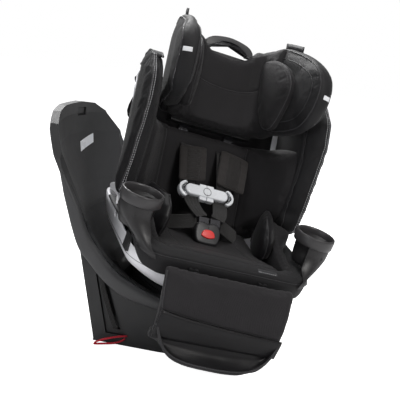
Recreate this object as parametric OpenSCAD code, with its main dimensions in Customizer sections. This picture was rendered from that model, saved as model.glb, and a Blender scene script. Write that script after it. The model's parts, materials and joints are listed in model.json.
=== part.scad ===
/* [Base] */
// Half-width of the base body
base_half_w = 184; // [176:1:190]
// Foremost point of the base, in front of the origin
base_front = 154; // [150:1:165]
// Rearmost point of the base underside, behind the origin
base_rear = 170; // [160:1:185]
// Thickness of the bottom cover
plate_t = 4; // [3:0.5:6]
// Wall thickness of the base mouldings
base_wall = 4; // [3:0.5:6]
// Height where the base body stops and the tall rear panel starts
panel_z = 262; // [255:1:275]
// Height of the top of the rear panel
panel_top = 484; // [470:1:495]
// Thickness of the rear panel
panel_t = 16; // [12:1:20]
// Thickness of the side bands that trim the arms
band_t = 14; // [8:1:18]

/* [Recline and swivel] */
// Distance of the swivel axis behind the origin
swivel_y = 30; // [20:1:40]
// Height where the swivel axis crosses the carriage datum
swivel_z = 79; // [75:1:85]
// Lean of the swivel axis toward the vehicle front
swivel_lean = 15; // [10:1:18]
// Angle of the seat on its turntable, away from facing the vehicle front
seat_turn = -58; // [-90:1:0]
// Radius of the recline arc, from its centre to the carriage datum
recline_r = 200; // [195:1:210]
// Radius of the carriage underside about the recline centre
cradle_r = 212; // [210:1:214]
// Radius of the carriage disc
carriage_r = 124; // [118:1:126]
// Height of the top face of the carriage above its datum
carriage_top = 30; // [28:1:32]
// Radius of the swivel hub
hub_r = 30; // [25:1:34]
// Radial running clearance of the swivel hub and the headrest guides
fit_gap = 0.06; // [0.03:0.01:0.1]
// Clearance between parts that move past each other
gap = 0.5; // [0.4:0.1:1]

/* [Seat shell] */
// Height of the underside of the seat shell above the carriage datum
shell_h = 60; // [58:1:64]
// Height of the rim of the seat shell
shell_rim_h = 165; // [160:1:170]
// Half-width of the seat shell at its rim
shell_half_w = 202; // [196:1:206]
// Wall thickness of the seat shell
shell_t = 7; // [5:1:8]
// Half-width of the back shell
back_half_w = 222; // [216:1:226]
// Lean of the backrest from the swivel axis
back_lean = 25; // [20:1:28]
// Height of the top of the back shell along the backrest
back_top = 372; // [360:1:385]

/* [Padding] */
// Half-width of the seat cushion
cushion_half_w = 148; // [140:1:150]
// Half-distance between the inner faces of the side bolsters
bolster_in = 184; // [182:1:188]
// Half-distance between the outer faces of the side bolsters
bolster_out = 229; // [224:1:232]
// Half-width of the headrest centre pad
head_half_w = 109; // [100:1:111]
// Angle that each headrest wing flares outward
wing_flare = 12.3; // [8:0.1:12.5]
// Thickness of a headrest wing
wing_t = 30; // [24:1:30]

/* [Harness] */
// Width of the harness webbing
web_w = 38; // [36:1:40]
// Thickness of the harness webbing
web_t = 2; // [1.5:0.1:2.5]
// Half-length of the chest clip
clip_half_l = 70; // [60:1:72]
// Height of the middle of the chest clip along the backrest
clip_u = 86; // [82:1:90]

/* [Cup holders] */
// Distance of a cup holder's middle from the seat's middle plane
cup_x = 207; // [205:1:210]
// Distance of the cup holders in front of the swivel axis
cup_y = 117; // [110:1:125]
// Height of the cup holder rims above the carriage datum
cup_rim_h = 254; // [245:1:260]
// Outer radius of a cup holder rim
cup_rim_r = 45; // [43:0.5:46]
// Radius of a cup holder opening
cup_bore_r = 39; // [36:0.5:40]

/* [Leg rest] */
// Half-width of the leg rest
leg_half_w = 143; // [135:1:146]
// Lowest point of the leg rest below the carriage datum
leg_drop = 31; // [20:1:32]
// Top edge of the leg rest above the carriage datum
leg_top = 148; // [140:1:150]

/* [Hidden] */
$fn = 72;

charcoal = [0.13, 0.13, 0.14];
dark = [0.07, 0.07, 0.08];
fabric = [0.10, 0.10, 0.11];
white = [0.88, 0.88, 0.90];

// Height of the lower end of the plate that hooks a cup holder to the shell
hook_plate_h = 138;
// Radius of the swept bowl of the base at heights above the carriage datum: [radius, height]
bowl = [[172, 42], [186, 47], [209, 59], [236, 84], [262, 110], [291, 156], [335, 213],
        [362, 250], [381, 290], [394, 350], [400, 440], [400, 560]];
// Upper edge of the arms, from front to back: [behind the origin, height]
ridge = [[-170, 70], [43, 126], [91, 144], [132, 167], [166, 202], [194, 237], [218, 291],
         [254, 360], [272, 392]];
// Lower edge of the side bands, from back to front
band_low = [[262, 346], [252, 304], [220, 212], [191, 176], [150, 136], [100, 108], [40, 96]];
// Slope of the rear face of the base
rear_slope = 0.353;
// Height where the side bands end under the flared shoulders of the rear panel
band_top = 334;
// Lower near corner of the hook recess in the rear panel
hook_at = [31, 262, 436];

// ---------- frames ----------
module carriage_frame() { translate([0, swivel_y, swivel_z]) rotate([swivel_lean, 0, 0]) children(); }
module seat_frame() { carriage_frame() rotate([0, 0, seat_turn]) children(); }
// Backrest frame: x across, y out through the back, z up along the backrest
back_y = 68;
back_h = 125;
module back_frame() { seat_frame() translate([0, back_y, back_h]) rotate([-back_lean, 0, 0]) children(); }

// ---------- shared shapes ----------
function arc(x, y, r, a0, a1, n = 6) =
    [for (i = [0:n]) let (a = a0 + (a1 - a0) * i / n) [x + r * cos(a), y + r * sin(a)]];
// Rounded rectangle from (x0, y0) to (x1, y1)
function rounded(x0, y0, x1, y1, r, n = 6) = concat(
    arc(x1 - r, y1 - r, r, 0, 90, n), arc(x0 + r, y1 - r, r, 90, 180, n),
    arc(x0 + r, y0 + r, r, 180, 270, n), arc(x1 - r, y0 + r, r, 270, 360, n));
// Profile drawn as [y, z], extruded across x from x0 to x1
module across(x0, x1) { translate([x0, 0, 0]) rotate([90, 0, 90]) linear_extrude(x1 - x0) children(); }
// Profile drawn as [x, z], extruded from y0 back to y1
module back_to(y0, y1) { translate([0, y1, 0]) rotate([90, 0, 0]) linear_extrude(y1 - y0) children(); }
// Smooth stack of rounded rectangles, each [height, half-width, front, rear, corner radius]
module stack(levels) {
    hull() for (l = levels) translate([0, 0, l[0]])
        linear_extrude(0.5) polygon(rounded(-l[1], -l[2], l[1], l[3], l[4]));
}
module both_sides() { children(); mirror([1, 0, 0]) children(); }
// Straight web of width w and thickness t between two points given as [x, y, z]
module web(a, b, w, t) {
    hull() {
        translate(a) cube([w, t, 0.5], center = true);
        translate(b) cube([w, t, 0.5], center = true);
    }
}

// ---------- base ----------
module bowl_cut(grow = 0) {
    outline = concat([[0, 25 - grow], [152 + grow, 25 - grow]],
                     [for (p = bowl) [p[0] + grow, p[1] - grow * 0.6]], [[0, 560]]);
    carriage_frame() rotate_extrude() polygon(outline);
}
// Trough that the carriage rides in as it reclines
module trough_cut(grow = 0) {
    intersection() {
        carriage_frame() translate([0, 0, recline_r]) rotate([0, 90, 0])
            cylinder(r = cradle_r + 2.5 + grow, h = 400, center = true);
        translate([-127 - grow, -140 - grow, -1]) cube([254 + 2 * grow, 305 + 2 * grow, 260]);
    }
}
module base_plan(inset = 0) {
    w = base_half_w - inset;
    union() {
        translate([0, swivel_y]) circle(r = w);
        translate([-w, swivel_y]) square([2 * w, 300]);
    }
}
// Side outline of the base body
module base_side(inset = 0) {
    rear = base_rear - inset;
    across(-250, 250) polygon(concat([[-base_front - 20, 0]], ridge,
        [[rear + panel_z * rear_slope + 10, 392], [rear + panel_z * rear_slope, panel_z], [rear, 0]]));
}
// Sloping bevels that trim the rear corners of the base body
module rear_bevels() {
    both_sides() translate([base_half_w, base_rear - 2, 0]) rotate([-12.6, 0, -12.7])
        translate([-130, 0, -100]) cube([300, 120, 500]);
}
module base_plate() {
    color(dark) difference() {
        intersection() {
            linear_extrude(plate_t) base_plan();
            translate([-250, -250, 0]) cube([500, 250 + base_rear, plate_t]);
        }
        for (x = [-150, 150], y = [0, 130]) translate([x, y, -1]) cylinder(r = 2.1, h = 10);
    }
}
module base_shell() {
    color(charcoal) difference() {
        intersection() {
            translate([0, 0, plate_t]) linear_extrude(panel_z - plate_t) base_plan();
            base_side();
        }
        bowl_cut();
        trough_cut();
        rear_bevels();
        // hollow under the deck, open at the bottom
        difference() {
            intersection() {
                translate([0, 0, plate_t - 1]) linear_extrude(panel_z - 8) intersection() {
                    base_plan(base_wall + 14);
                    polygon([[-170, -200], [170, -200], [170, 150], [110, 158], [110, 400],
                             [-110, 400], [-110, 158], [-170, 150]]);
                }
                base_side(base_wall + 3);
            }
            bowl_cut(base_wall);
            trough_cut(base_wall);
            for (x = [-150, 150], y = [0, 130]) translate([x, y, 0]) cylinder(r = 8, h = 260);
        }
        for (x = [-150, 150], y = [0, 130]) translate([x, y, 0]) cylinder(r = 2.1, h = 20);
        track_blocks(0.2, 200);
        // side pockets that hold the belt guides
        for (s = [-1, 1]) belt_pocket(s);
        // pull handle opening at the front
        translate([-42, -170, 26]) cube([84, 44, 24]);
    }
}
module belt_pocket(s) {
    translate([s * (base_half_w - 7), 0, 0]) across(-8, 8)
        polygon([[97, 22], [142, 22], [173, 150], [152, 158]]);
}
module belt_guides() {
    color(dark) for (s = [-1, 1]) translate([s * (base_half_w - 10), 0, 0]) difference() {
        across(-5, 5) polygon([[98, 23], [141, 23], [171.5, 149.5], [152.5, 156.5]]);
        across(-6, 6) polygon([[110, 33], [126, 33], [157, 141], [150, 144]]);
    }
}
// Rear panel: a curved sheet with a peaked, rounded top and flared shoulders
module rear_panel() {
    color(charcoal) difference() {
        intersection() {
            bowl_cut(panel_t);
            both_sides() back_to(60, 420) polygon([[-1, panel_z], [base_half_w - 0.2, panel_z],
                [base_half_w - 0.2, band_top], [200, 372], [196, 392], [172, 424], [146, 456],
                [104, 477], [50, panel_top], [-1, panel_top]]);
            across(-250, 250) polygon([[190, 237], [218, 291], [254, 360], [266, 392], [270, 500],
                [360, 500], [352, 300], [262, 240]]);
        }
        bowl_cut();
        // blind recess for the hook
        intersection() {
            translate(hook_at) rotate([15, 0, 0]) cube([38, 80, 18]);
            bowl_cut(9);
        }
    }
}
module side_band(s) {
    color([0.20, 0.20, 0.21]) intersection() {
        translate([s * (base_half_w + band_t / 2), 0, 0]) across(-band_t / 2, band_t / 2)
            polygon(concat(ridge, [[274, 380]], band_low, [[-60, 60], [-170, 34]]));
        union() {
            linear_extrude(band_top - 0.5) intersection() {
                difference() {
                    offset(delta = band_t) base_plan();
                    base_plan();
                }
                translate([-250, -60]) square([500, 400]);
            }
        }
    }
}
module side_band_left() side_band(-1);
module side_band_right() side_band(1);
module track_blocks(grow, high) {
    for (s = [-1, 1]) translate([s * 82 - 13 - grow, -118 - grow, plate_t])
        cube([26 + 2 * grow, 250 + 2 * grow, high]);
}
// Two concave tracks that carry the reclining carriage
module recline_tracks() {
    color(dark) difference() {
        track_blocks(0, 92);
        carriage_frame() translate([0, 0, recline_r]) rotate([0, 90, 0])
            cylinder(r = cradle_r + gap, h = 300, center = true, $fn = 180);
        bowl_cut(0.5);
    }
}
module base_feet() {
    color(dark) for (x = [-120, 120], y = [-60, 130]) translate([x, y, plate_t])
        cylinder(r = 11, h = 3);
}
module base_screws() {
    color("silver") for (x = [-150, 150], y = [0, 130]) translate([x, y, 0.4])
        cylinder(r = 2, h = 18);
}
module blank_label() {
    color(white) intersection() {
        difference() {
            bowl_cut(0);
            bowl_cut(-0.6);
        }
        back_to(150, 400) polygon([[8, 373], [20, 394], [88, 406], [78, 386]]);
    }
}
// Flat hook that fills the bottom of the recess
module panel_hook() {
    color(dark) difference() {
        intersection() {
            translate(hook_at + [2, 0, 2]) rotate([15, 0, 0]) cube([34, 80, 14]);
            bowl_cut(8.8);
        }
        bowl_cut(3);
    }
}
// Red pull loop of the lower anchor strap, lying low on the left side
module anchor_strap() {
    color([0.8, 0.08, 0.1]) translate([0, 0, 2]) linear_extrude(9) difference() {
        polygon([[-184.5, 98], [-184.5, 112], [-199, 153], [-208, 156], [-213, 149],
            [-204, 118], [-192, 98]]);
        polygon([[-188, 104], [-188, 112], [-201, 148], [-206, 149], [-208, 145], [-200, 119], [-193, 104]]);
    }
}
// Lower anchor connectors stowed against the sloping rear face
module anchor_connectors() {
    color("silver") for (x = [-110, 110]) translate([x - 14, base_rear, 0])
        rotate([-atan(rear_slope), 0, 0]) translate([0, 0.3, 20]) difference() {
            cube([28, 14, 62]);
            translate([9, -1, 34]) cube([10, 16, 20]);
        }
}
module recline_handle() {
    color(charcoal) translate([-38, -158, 31]) difference() {
        cube([76, 22, 13]);
        translate([8, 6, -1]) cube([60, 9, 15]);
    }
}

// ---------- carriage ----------
module carriage() {
    color(dark) carriage_frame() difference() {
        intersection() {
            translate([0, 0, -14]) cylinder(r = carriage_r, h = carriage_top + 14, $fn = 120);
            translate([0, 0, recline_r]) rotate([0, 90, 0])
                cylinder(r = cradle_r, h = 300, center = true, $fn = 180);
        }
        translate([0, 0, -30]) cylinder(r = hub_r + fit_gap, h = 80);
        translate([0, 0, -30]) cylinder(r = 62, h = 38);
        translate([0, 0, carriage_top - 3]) difference() {
            cylinder(r = 108, h = 10);
            translate([0, 0, -1]) cylinder(r = 96, h = 12);
        }
        // bore and finger recess for the swivel release
        translate([0, -84, -30]) cylinder(r = 6 + fit_gap, h = 80);
        translate([-20, -104, -30]) cube([40, 32, 52]);
    }
}
module bearing_ring() {
    color(white) carriage_frame() translate([0, 0, carriage_top - 3]) difference() {
        cylinder(r = 107.9, h = 3.2);
        translate([0, 0, -1]) cylinder(r = 96.1, h = 6);
    }
}
// Spring pin with a finger paddle, pulled down to free the turntable
module swivel_release() {
    color([0.35, 0.35, 0.37]) carriage_frame() {
        translate([0, -84, 16]) cylinder(r = 6, h = carriage_top - 16 - 0.1);
        translate([-14, -95, 16]) cube([28, 20, 5]);
    }
}

// ---------- seat: turntable and shells ----------
// Height of the low front edge of the seat shell
front_edge_h = 128.5;
screw_ring = [for (i = [0:5]) [90 * cos(30 + 60 * i), 90 * sin(30 + 60 * i)]];
module turntable() {
    color([0.3, 0.3, 0.32]) seat_frame() difference() {
        union() {
            translate([0, 0, carriage_top + gap]) cylinder(r = 121, h = 8);
            translate([0, 0, carriage_top + gap]) cylinder(r = 104, h = shell_h - carriage_top - gap);
            translate([0, 0, 7.5]) cylinder(r = hub_r, h = 26);
        }
        translate([0, 0, 0]) cylinder(r = 20, h = 90);
        for (p = screw_ring) translate([p[0], p[1], 36]) cylinder(r = 3, h = 30);
        // indexing holes that the release pin drops into
        for (i = [0:3]) rotate([0, 0, 90 * i - seat_turn]) translate([0, -84, 25]) cylinder(r = 6.6, h = 16);
    }
}
module hub_retainer() {
    color("silver") seat_frame() translate([0, 0, 2.5]) difference() {
        cylinder(r = 40, h = 5);
        translate([0, 0, -1]) cylinder(r = 20, h = 8);
    }
}
module turntable_screws() {
    color("silver") seat_frame() for (p = screw_ring) translate([p[0], p[1], 0]) {
        translate([0, 0, 40]) cylinder(r = 2.95, h = shell_h + shell_t - 40 + 0.1);
        translate([0, 0, shell_h + shell_t]) cylinder(r = 6, h = 3);
    }
}
// Outer shape of the seat shell, shrunk sideways by inset and carried up to height top
module shell_form(inset = 0, top = 165) {
    stack([[shell_h, 115 - inset, 140 - inset, 115 - inset, 60 - inset],
           [98, 184 - inset, 178 - inset, 140 - inset, 74 - inset],
           [shell_rim_h, shell_half_w - inset, 200 - inset, 152 - inset, 60 - inset],
           [max(top, shell_rim_h), shell_half_w - inset, 200 - inset, 152 - inset, 60 - inset]]);
}
// Everything below the rim that the shell's rim outline covers when seen from above
module rim_prism(grow = 0) {
    stack([for (h = [100, 166]) [h, shell_half_w + grow, 200 + grow, 152 + grow, 60 + grow]]);
}
module seat_shell() {
    color(white) seat_frame() difference() {
        shell_form();
        // low front edge that the cover rolls over
        translate([-230, -215, front_edge_h]) cube([460, 65, 60]);
        stack([[shell_h + shell_t, 108, 133, 108, 54], [103, 178, 171, 133, 68],
               [shell_rim_h + 1, shell_half_w - shell_t, 193, 145, 54]]);
        for (p = screw_ring) translate([p[0], p[1], 50]) cylinder(r = 3, h = 30);
        translate([0, 0, 50]) cylinder(r = 22, h = 30);
    }
}
module back_shell() {
    color(white) back_frame() {
        both_sides() back_to(34, 42) polygon([[-1, -20], [132, -20], [162, 20], [171, 66],
            [back_half_w, 66], [back_half_w, 300], [212, 340], [184, 364], [120, back_top],
            [-1, back_top]]);
        both_sides() across(back_half_w - 6, back_half_w)
            polygon([[34.5, 66], [-88, 8], [-122, -6], [-112, 30], [-82, 120], [-86, 213],
                     [-56, 330], [-20, 344], [34.5, 300]]);
    }
}
// Blocks on the sides of the shell that the cup holders hook onto
module cup_mounts() {
    color(dark) seat_frame() both_sides() difference() {
        translate([190, -cup_y - 14, 122]) cube([17, 28, 38]);
        shell_form();
    }
}
module headrest_rails() {
    color([0.5, 0.5, 0.52]) back_frame() both_sides() {
        translate([54, 27, 232]) cube([12, 7, 130]);
        translate([49, 23, 232]) cube([22, 4, 130]);
    }
}

// ---------- seat: padding ----------
module seat_foam() {
    color([0.75, 0.75, 0.77]) seat_frame()
        stack([[74, 110, 125, 55, 50], [107, 165, 162, 66, 60]]);
}
// Cushion whose front rolls over the low edge of the shell and wraps its corners
module seat_cushion() {
    color(fabric) seat_frame() difference() {
        intersection() {
            union() {
                across(-cushion_half_w, cushion_half_w)
                    polygon([[72, 112], [72, 148], [40, 141], [-60, 142], [-130, 160], [-172, 171],
                             [-188, 170], [-206, 158], [-206, 129], [-192, 129], [-160, 112]]);
                translate([0, 0, front_edge_h + 0.3]) linear_extrude(34) difference() {
                    translate([-230, -215]) square([460, 64.5]);
                    polygon(rounded(-186, -184, 186, 140, 30));
                }
            }
            union() {
                stack([[shell_h + shell_t, 107.5, 132.5, 107.5, 54], [103, 177.5, 170.5, 132.5, 68],
                       [shell_rim_h, 194, 192, 144, 54], [220, 194, 192, 144, 54]]);
                intersection() {
                    shell_form(0.2, 200);
                    translate([-230, -215, front_edge_h + 0.3]) cube([460, 64.5, 100]);
                }
            }
        }
        stack([[74, 112, 127, 57, 50], [111, 166, 163, 67, 60]]);
        // pocket for the crotch strap and the foot of the buckle
        translate([-33, -62, 100]) cube([66, 29, 60]);
    }
}
// Back cushion; its sides turn forward to meet the bolsters
module back_cushion() {
    color(fabric) back_frame() difference() {
        union() {
            across(-176, 176) polygon([[33.5, 6], [10, 8], [8, 60], [6, 120], [9, 205], [14, 223],
                [30, 224], [30, 345], [33.5, 345]]);
            both_sides() translate([0, 0, 84]) linear_extrude(126) polygon([[108, 14], [112, 8],
                [146, -4], [168, -34], [178, -84], [183.5, -84], [183.5, 14]]);
        }
        both_sides() translate([48, 0, 224]) cube([24, 40, 140]);
        // lower corners stay inside the shell
        both_sides() back_to(-10, 50) polygon([[158, 0], [190, 0], [190, 60], [168, 40]]);
        // harness slots
        for (x = [-47, 47]) translate([x - 22, 0, 195]) cube([44, 40, 9]);
    }
}
module seat_side(s) {
    color(fabric) seat_frame() difference() {
        union() {
            across(s > 0 ? 149 : -160.5, s > 0 ? 160.5 : -149)
                polygon([[60, 114], [60, 205], [-20, 214], [-60, 205], [-140, 178], [-180, 160],
                         [-180, 128], [-140, 114]]);
            across(s > 0 ? 160.5 : -178, s > 0 ? 178 : -160.5)
                polygon([[60, 130], [60, 196], [0, 208], [-50, 196], [-70, 168], [-150, 162],
                         [-165, 150], [-150, 130]]);
        }
        difference() {
            translate([-300, -300, 60]) cube([600, 500, shell_rim_h - 58]);
            stack([[shell_h + shell_t, 107, 132, 107, 54], [103, 177, 170, 132, 68],
                   [shell_rim_h + 8, shell_half_w - shell_t - 0.5, 192, 144, 54]]);
        }
        stack([[74, 112, 127, 57, 50], [111, 166, 163, 67, 60]]);
    }
}
module seat_side_left() seat_side(-1);
module seat_side_right() seat_side(1);
module bolster() {
    difference() {
        union() {
            across(bolster_in, back_half_w - 6.5) polygon([[32, 72], [32, 340], [-20, 352],
                [-90, 352], [-90, 30], [-40, 40]]);
            across(bolster_in, bolster_out) polygon([[-89, 28], [-89, 352], [-130, 352],
                [-158, 326], [-168, 200], [-162, 96], [-142, 46], [-118, 30]]);
        }
        // slanted shell edge runs outside the roll
        across(back_half_w - 6.5, 260) polygon([[-70, 0], [-128, -10], [-120, 32], [-92, 118],
            [-93, 213], [-80, 300], [-70, 360]]);
    }
}
module bolster_left() { color(fabric) back_frame() mirror([1, 0, 0]) bolster(); }
module bolster_right() { color(fabric) back_frame() bolster(); }
module bolster_cap() {
    difference() {
        across(bolster_in + 2, bolster_out - 3) polygon([[-22, 353], [-92, 353], [-129, 353],
            [-140, 345], [-146, 362], [-132, 376], [-80, 380], [-30, 366]]);
        // rests on the slanted top of the bolster
        across(0, 300) polygon([[-129.5, 352.5], [-160, 326], [-170, 326], [-170, 340], [-141, 344]]);
        across(0, 300) polygon([[0, 352.2], [-129.7, 352.2], [-158.4, 326], [-158, 300], [0, 300]]);
    }
}
module bolster_cap_left() { color([0.6, 0.6, 0.62]) back_frame() mirror([1, 0, 0]) bolster_cap(); }
module bolster_cap_right() { color([0.6, 0.6, 0.62]) back_frame() bolster_cap(); }
module hip_pad() {
    hull() {
        translate([112, -76, 150]) cube([34, 98, 6]);
        translate([116, -66, 190]) cube([30, 92, 6]);
        translate([132, -40, 220]) cube([14, 84, 4]);
    }
}
module hip_pad_left() { color(fabric) seat_frame() mirror([1, 0, 0]) hip_pad(); }
module hip_pad_right() { color(fabric) seat_frame() hip_pad(); }

// ---------- harness, in the backrest frame ----------
// Middle of each shoulder pad's top, of each strap at the chest clip, and at the buckle tongue
strap_top = [[-45, 7, 200], [52, 7, 200]];
strap_clip = [[-47, -48, clip_u], [47, -48, clip_u]];
strap_tongue = [[-17, -100, 30.5], [17, -100, 30.5]];
module shoulder_straps() {
    c = strap_clip[1];
    color(dark) back_frame() for (x = [-47, 47]) across(x - web_w / 2, x + web_w / 2)
        polygon([[20, 199], [20, 201], [6, 201], [c[1] + 22, c[2] + 54], [c[1] - 15, c[2] - 37],
                 [c[1] - 13, c[2] - 37], [c[1] + 24, c[2] + 54], [7, 199]]);
}
module lower_straps() {
    color(dark) back_frame() for (i = [0, 1])
        web(strap_clip[i] + [0, -15, -38.5], strap_tongue[i], web_w * 0.8, web_t);
}
module lap_straps() {
    color(dark) back_frame() for (s = [-1, 1])
        web([s * 100, -40, 1], [s * 40, -100, 5], 8, 3);
}
module shoulder_pad(i) {
    d = (strap_clip[i] - strap_top[i]);
    a = strap_top[i] + d * 0.07 + [0, -11, 0];
    b = strap_top[i] + d * 0.76 + [0, -11, 0];
    hull() {
        translate(a) cube([56, 11, 4], center = true);
        translate(b) cube([52, 11, 4], center = true);
    }
}
module shoulder_pad_left() { color([0.16, 0.15, 0.15]) back_frame() shoulder_pad(0); }
module shoulder_pad_right() { color([0.16, 0.15, 0.15]) back_frame() shoulder_pad(1); }

module crotch_strap() {
    color(dark) seat_frame() translate([-16, -44.5, 118]) cube([32, 3, 20.5]);
}
module buckle_frame() { seat_frame() translate([0, -43, 152]) rotate([-38, 0, 0]) children(); }
module buckle_body() {
    color(dark) buckle_frame() difference() {
        translate([-31, -11, -9]) cube([62, 22, 50]);
        translate([-15.5, -12, 5]) cube([31, 12, 24]);
        translate([-27, -2, 36]) cube([54, 4, 10]);
    }
}
// Release button, pushed into the buckle
module buckle_button() {
    color([0.93, 0.22, 0.22]) buckle_frame() translate([-15, -12, 5.5]) cube([30, 6.5, 23]);
}
module buckle_tongues() {
    color("silver") buckle_frame() for (s = [-1, 1])
        translate([s * 14 - 12, -1.5, 36.5]) cube([24, 3, 16]);
}

// ---------- chest clip ----------
module clip_frame() { back_frame() translate([0, -48, clip_u]) rotate([-22.1, 0, 0]) children(); }
module clip_half(s) {
    difference() {
        back_to(-10, 7) polygon(s > 0
            ? concat([[0.2, -17], [0.2, 17]], arc(clip_half_l - 16, 4, 16, 70, -70), [[30, -17]])
            : concat([[-0.2, 17], [-0.2, -17]], arc(16 - clip_half_l, 4, 16, 250, 110), [[-30, 17]]));
        // path of the webbing
        translate([s * 47 - web_w / 2 - 1, -2, -40]) cube([web_w + 2, 6, 80]);
        translate([0, -2, 0]) rotate([90, 0, 0]) cylinder(r = 9.5, h = 30);
    }
}
module clip_left_half() { color(white) clip_frame() clip_half(-1); }
module clip_right_half() { color(white) clip_frame() clip_half(1); }
module clip_button() {
    color([0.8, 0.8, 0.82]) clip_frame() translate([0, -5.5, 0]) rotate([90, 0, 0]) cylinder(r = 9, h = 6);
}

// ---------- headrest, in the backrest frame ----------
module headrest_frame() {
    color(charcoal) back_frame() difference() {
        back_to(-2, 29.5) polygon([[-104, 248], [104, 248], [108, 300],
            [104, 400], [80, 438], [-80, 438], [-104, 400], [-108, 300]]);
        // guide channels that fit the rails
        both_sides() {
            translate([48.5, 22.5, 200]) cube([23, 4.5 + 0.4, 260]);
            translate([53.5, 26, 200]) cube([13, 12, 260]);
        }
        // sockets for the legs of the handle
        both_sides() translate([41.6, 5.6, 404]) cube([12.8, 8.8, 60]);
        translate([-90, 12, 262]) cube([30, 30, 128]);
        translate([60 + 18, 12, 262]) cube([12, 30, 128]);
        translate([-38, 12, 262]) cube([76, 30, 128]);
    }
}
module headrest_pad() {
    color(fabric) back_frame() back_to(-33, -2.5)
        polygon([[-100, 243], [100, 243], [head_half_w, 262], [head_half_w, 380],
                 [92, 420], [66, 440], [-66, 440], [-92, 420],
                 [-head_half_w, 380], [-head_half_w, 262]]);
}
module wing_frame() { translate([126.5, -8, 0]) rotate([0, 0, wing_flare]) children(); }
module headrest_wing() {
    wing_frame() across(-13, wing_t - 13) polygon([[12, 262], [-84, 262], [-150, 270], [-196, 296],
        [-222, 338], [-224, 376], [-198, 414], [-150, 448], [-92, 474], [-50, 486], [-12, 482],
        [12, 462]]);
}
module headrest_wing_left() { color(fabric) back_frame() mirror([1, 0, 0]) headrest_wing(); }
module headrest_wing_right() { color(fabric) back_frame() headrest_wing(); }
module head_insert() {
    wing_frame() across(-38, -13.5) polygon([[-32, 296], [-64, 272], [-104, 268], [-138, 300],
        [-148, 352], [-126, 398], [-84, 418], [-48, 404], [-32, 372]]);
}
module head_insert_left() { color(fabric) back_frame() mirror([1, 0, 0]) head_insert(); }
module head_insert_right() { color(fabric) back_frame() head_insert(); }
// Pull handle at the top of the headrest, with a finger opening under its bar
module headrest_handle() {
    color([0.2, 0.2, 0.21]) back_frame() {
        difference() {
            back_to(-17, -2) polygon(concat([[-57, 441], [57, 441]],
                arc(39, 456, 18, -20, 80), arc(-39, 456, 18, 100, 200)));
            back_to(-30, 30) polygon(rounded(-41, 447, 41, 463, 7));
        }
        both_sides() translate([42, -17, 441]) cube([12, 31, 6]);
        both_sides() translate([42, 6, 408]) cube([12, 8, 34]);
    }
}

// ---------- cup holders ----------
module cup_holder() {
    translate([cup_x, -cup_y, 0]) {
        difference() {
            union() {
                translate([0, 0, cup_rim_h - 20]) cylinder(r = cup_rim_r, h = 20);
                translate([0, 0, shell_rim_h + 7])
                    cylinder(r1 = 36, r2 = 43, h = cup_rim_h - 20 - shell_rim_h - 7);
            }
            translate([0, 0, shell_rim_h + 12])
                cylinder(r1 = 32, r2 = cup_bore_r, h = cup_rim_h - shell_rim_h);
            // drain hole
            translate([8, 0, 100]) cylinder(r = 4, h = 100);
        }
        // arm that sweeps down to the front corner of the shell
        difference() {
            hull() {
                translate([2, 0, shell_rim_h + 7]) cylinder(r = 34, h = 3, $fn = 32);
                translate([-37, -78, 146]) cylinder(r = 5, h = 6, $fn = 24);
            }
            translate([-cup_x, cup_y, 0]) rim_prism(0.6);
            translate([-60, -60, 166]) cube([34, 120, 40]);
            translate([8, 0, 100]) cylinder(r = 4, h = 100);
            translate([-30, -14.5, 100]) cube([30.6, 29, 61]);
        }
        // hook plate down the outside of the shell
        difference() {
            translate([-4, -24, hook_plate_h]) cube([12, 48, shell_rim_h + 12 - hook_plate_h]);
            translate([-5, -14.5, 100]) cube([5.6, 29, 61]);
        }
    }
}
module cup_holder_left() { color([0.24, 0.24, 0.25]) seat_frame() mirror([1, 0, 0]) cup_holder(); }
module cup_holder_right() { color([0.2, 0.2, 0.21]) seat_frame() cup_holder(); }

// ---------- leg rest ----------
module leg_rest_guides() {
    color(dark) seat_frame() both_sides() difference() {
        translate([70, -213, 112]) cube([20, 35, 34]);
        shell_form();
        translate([80, -207, 100]) cylinder(r = 4 + fit_gap, h = 60);
    }
}
module leg_rest_board() {
    color(charcoal) seat_frame() {
        across(-120, 120)
            polygon([[-214, 140], [-219, 140], [-234, 60], [-234, -10], [-229, -10], [-229, 60]]);
        both_sides() {
            translate([80, -207, 66]) cylinder(r = 4, h = 82);
            translate([74, -231, 62]) cube([12, 30, 8]);
        }
    }
}
module leg_rest_pad() {
    color(fabric) seat_frame() across(-leg_half_w, leg_half_w)
        polygon([[-219.5, leg_top], [-214, 141], [-219.2, 140.5], [-234.5, 60], [-234.5, 20],
                 [-264, 20], [-270, 50], [-262, 80], [-246, 112], [-236, 134]]);
}
// Flap that curls forward into a lip with a bowed front and a bowed underside
module leg_rest_flap() {
    color(fabric) seat_frame() intersection() {
        across(-leg_half_w, leg_half_w)
            polygon([[-234.5, 19.5], [-234.5, -12], [-226, -12], [-226, -leg_drop + 6],
                     [-240, -leg_drop], [-300, -leg_drop], [-306, -leg_drop + 8],
                     [-300, -leg_drop + 18], [-276, 0], [-264, 19.5]]);
        both_sides() linear_extrude(200, center = true)
            polygon([[-1, -200], [150, -200], [150, -262], [141, -268], [110, -284], [60, -298], [-1, -306]]);
        both_sides() back_to(-320, -200)
            polygon([[-1, 40], [150, 40], [150, -3], [141, -6], [110, -14], [60, -23], [-1, -leg_drop]]);
    }
}

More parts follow.
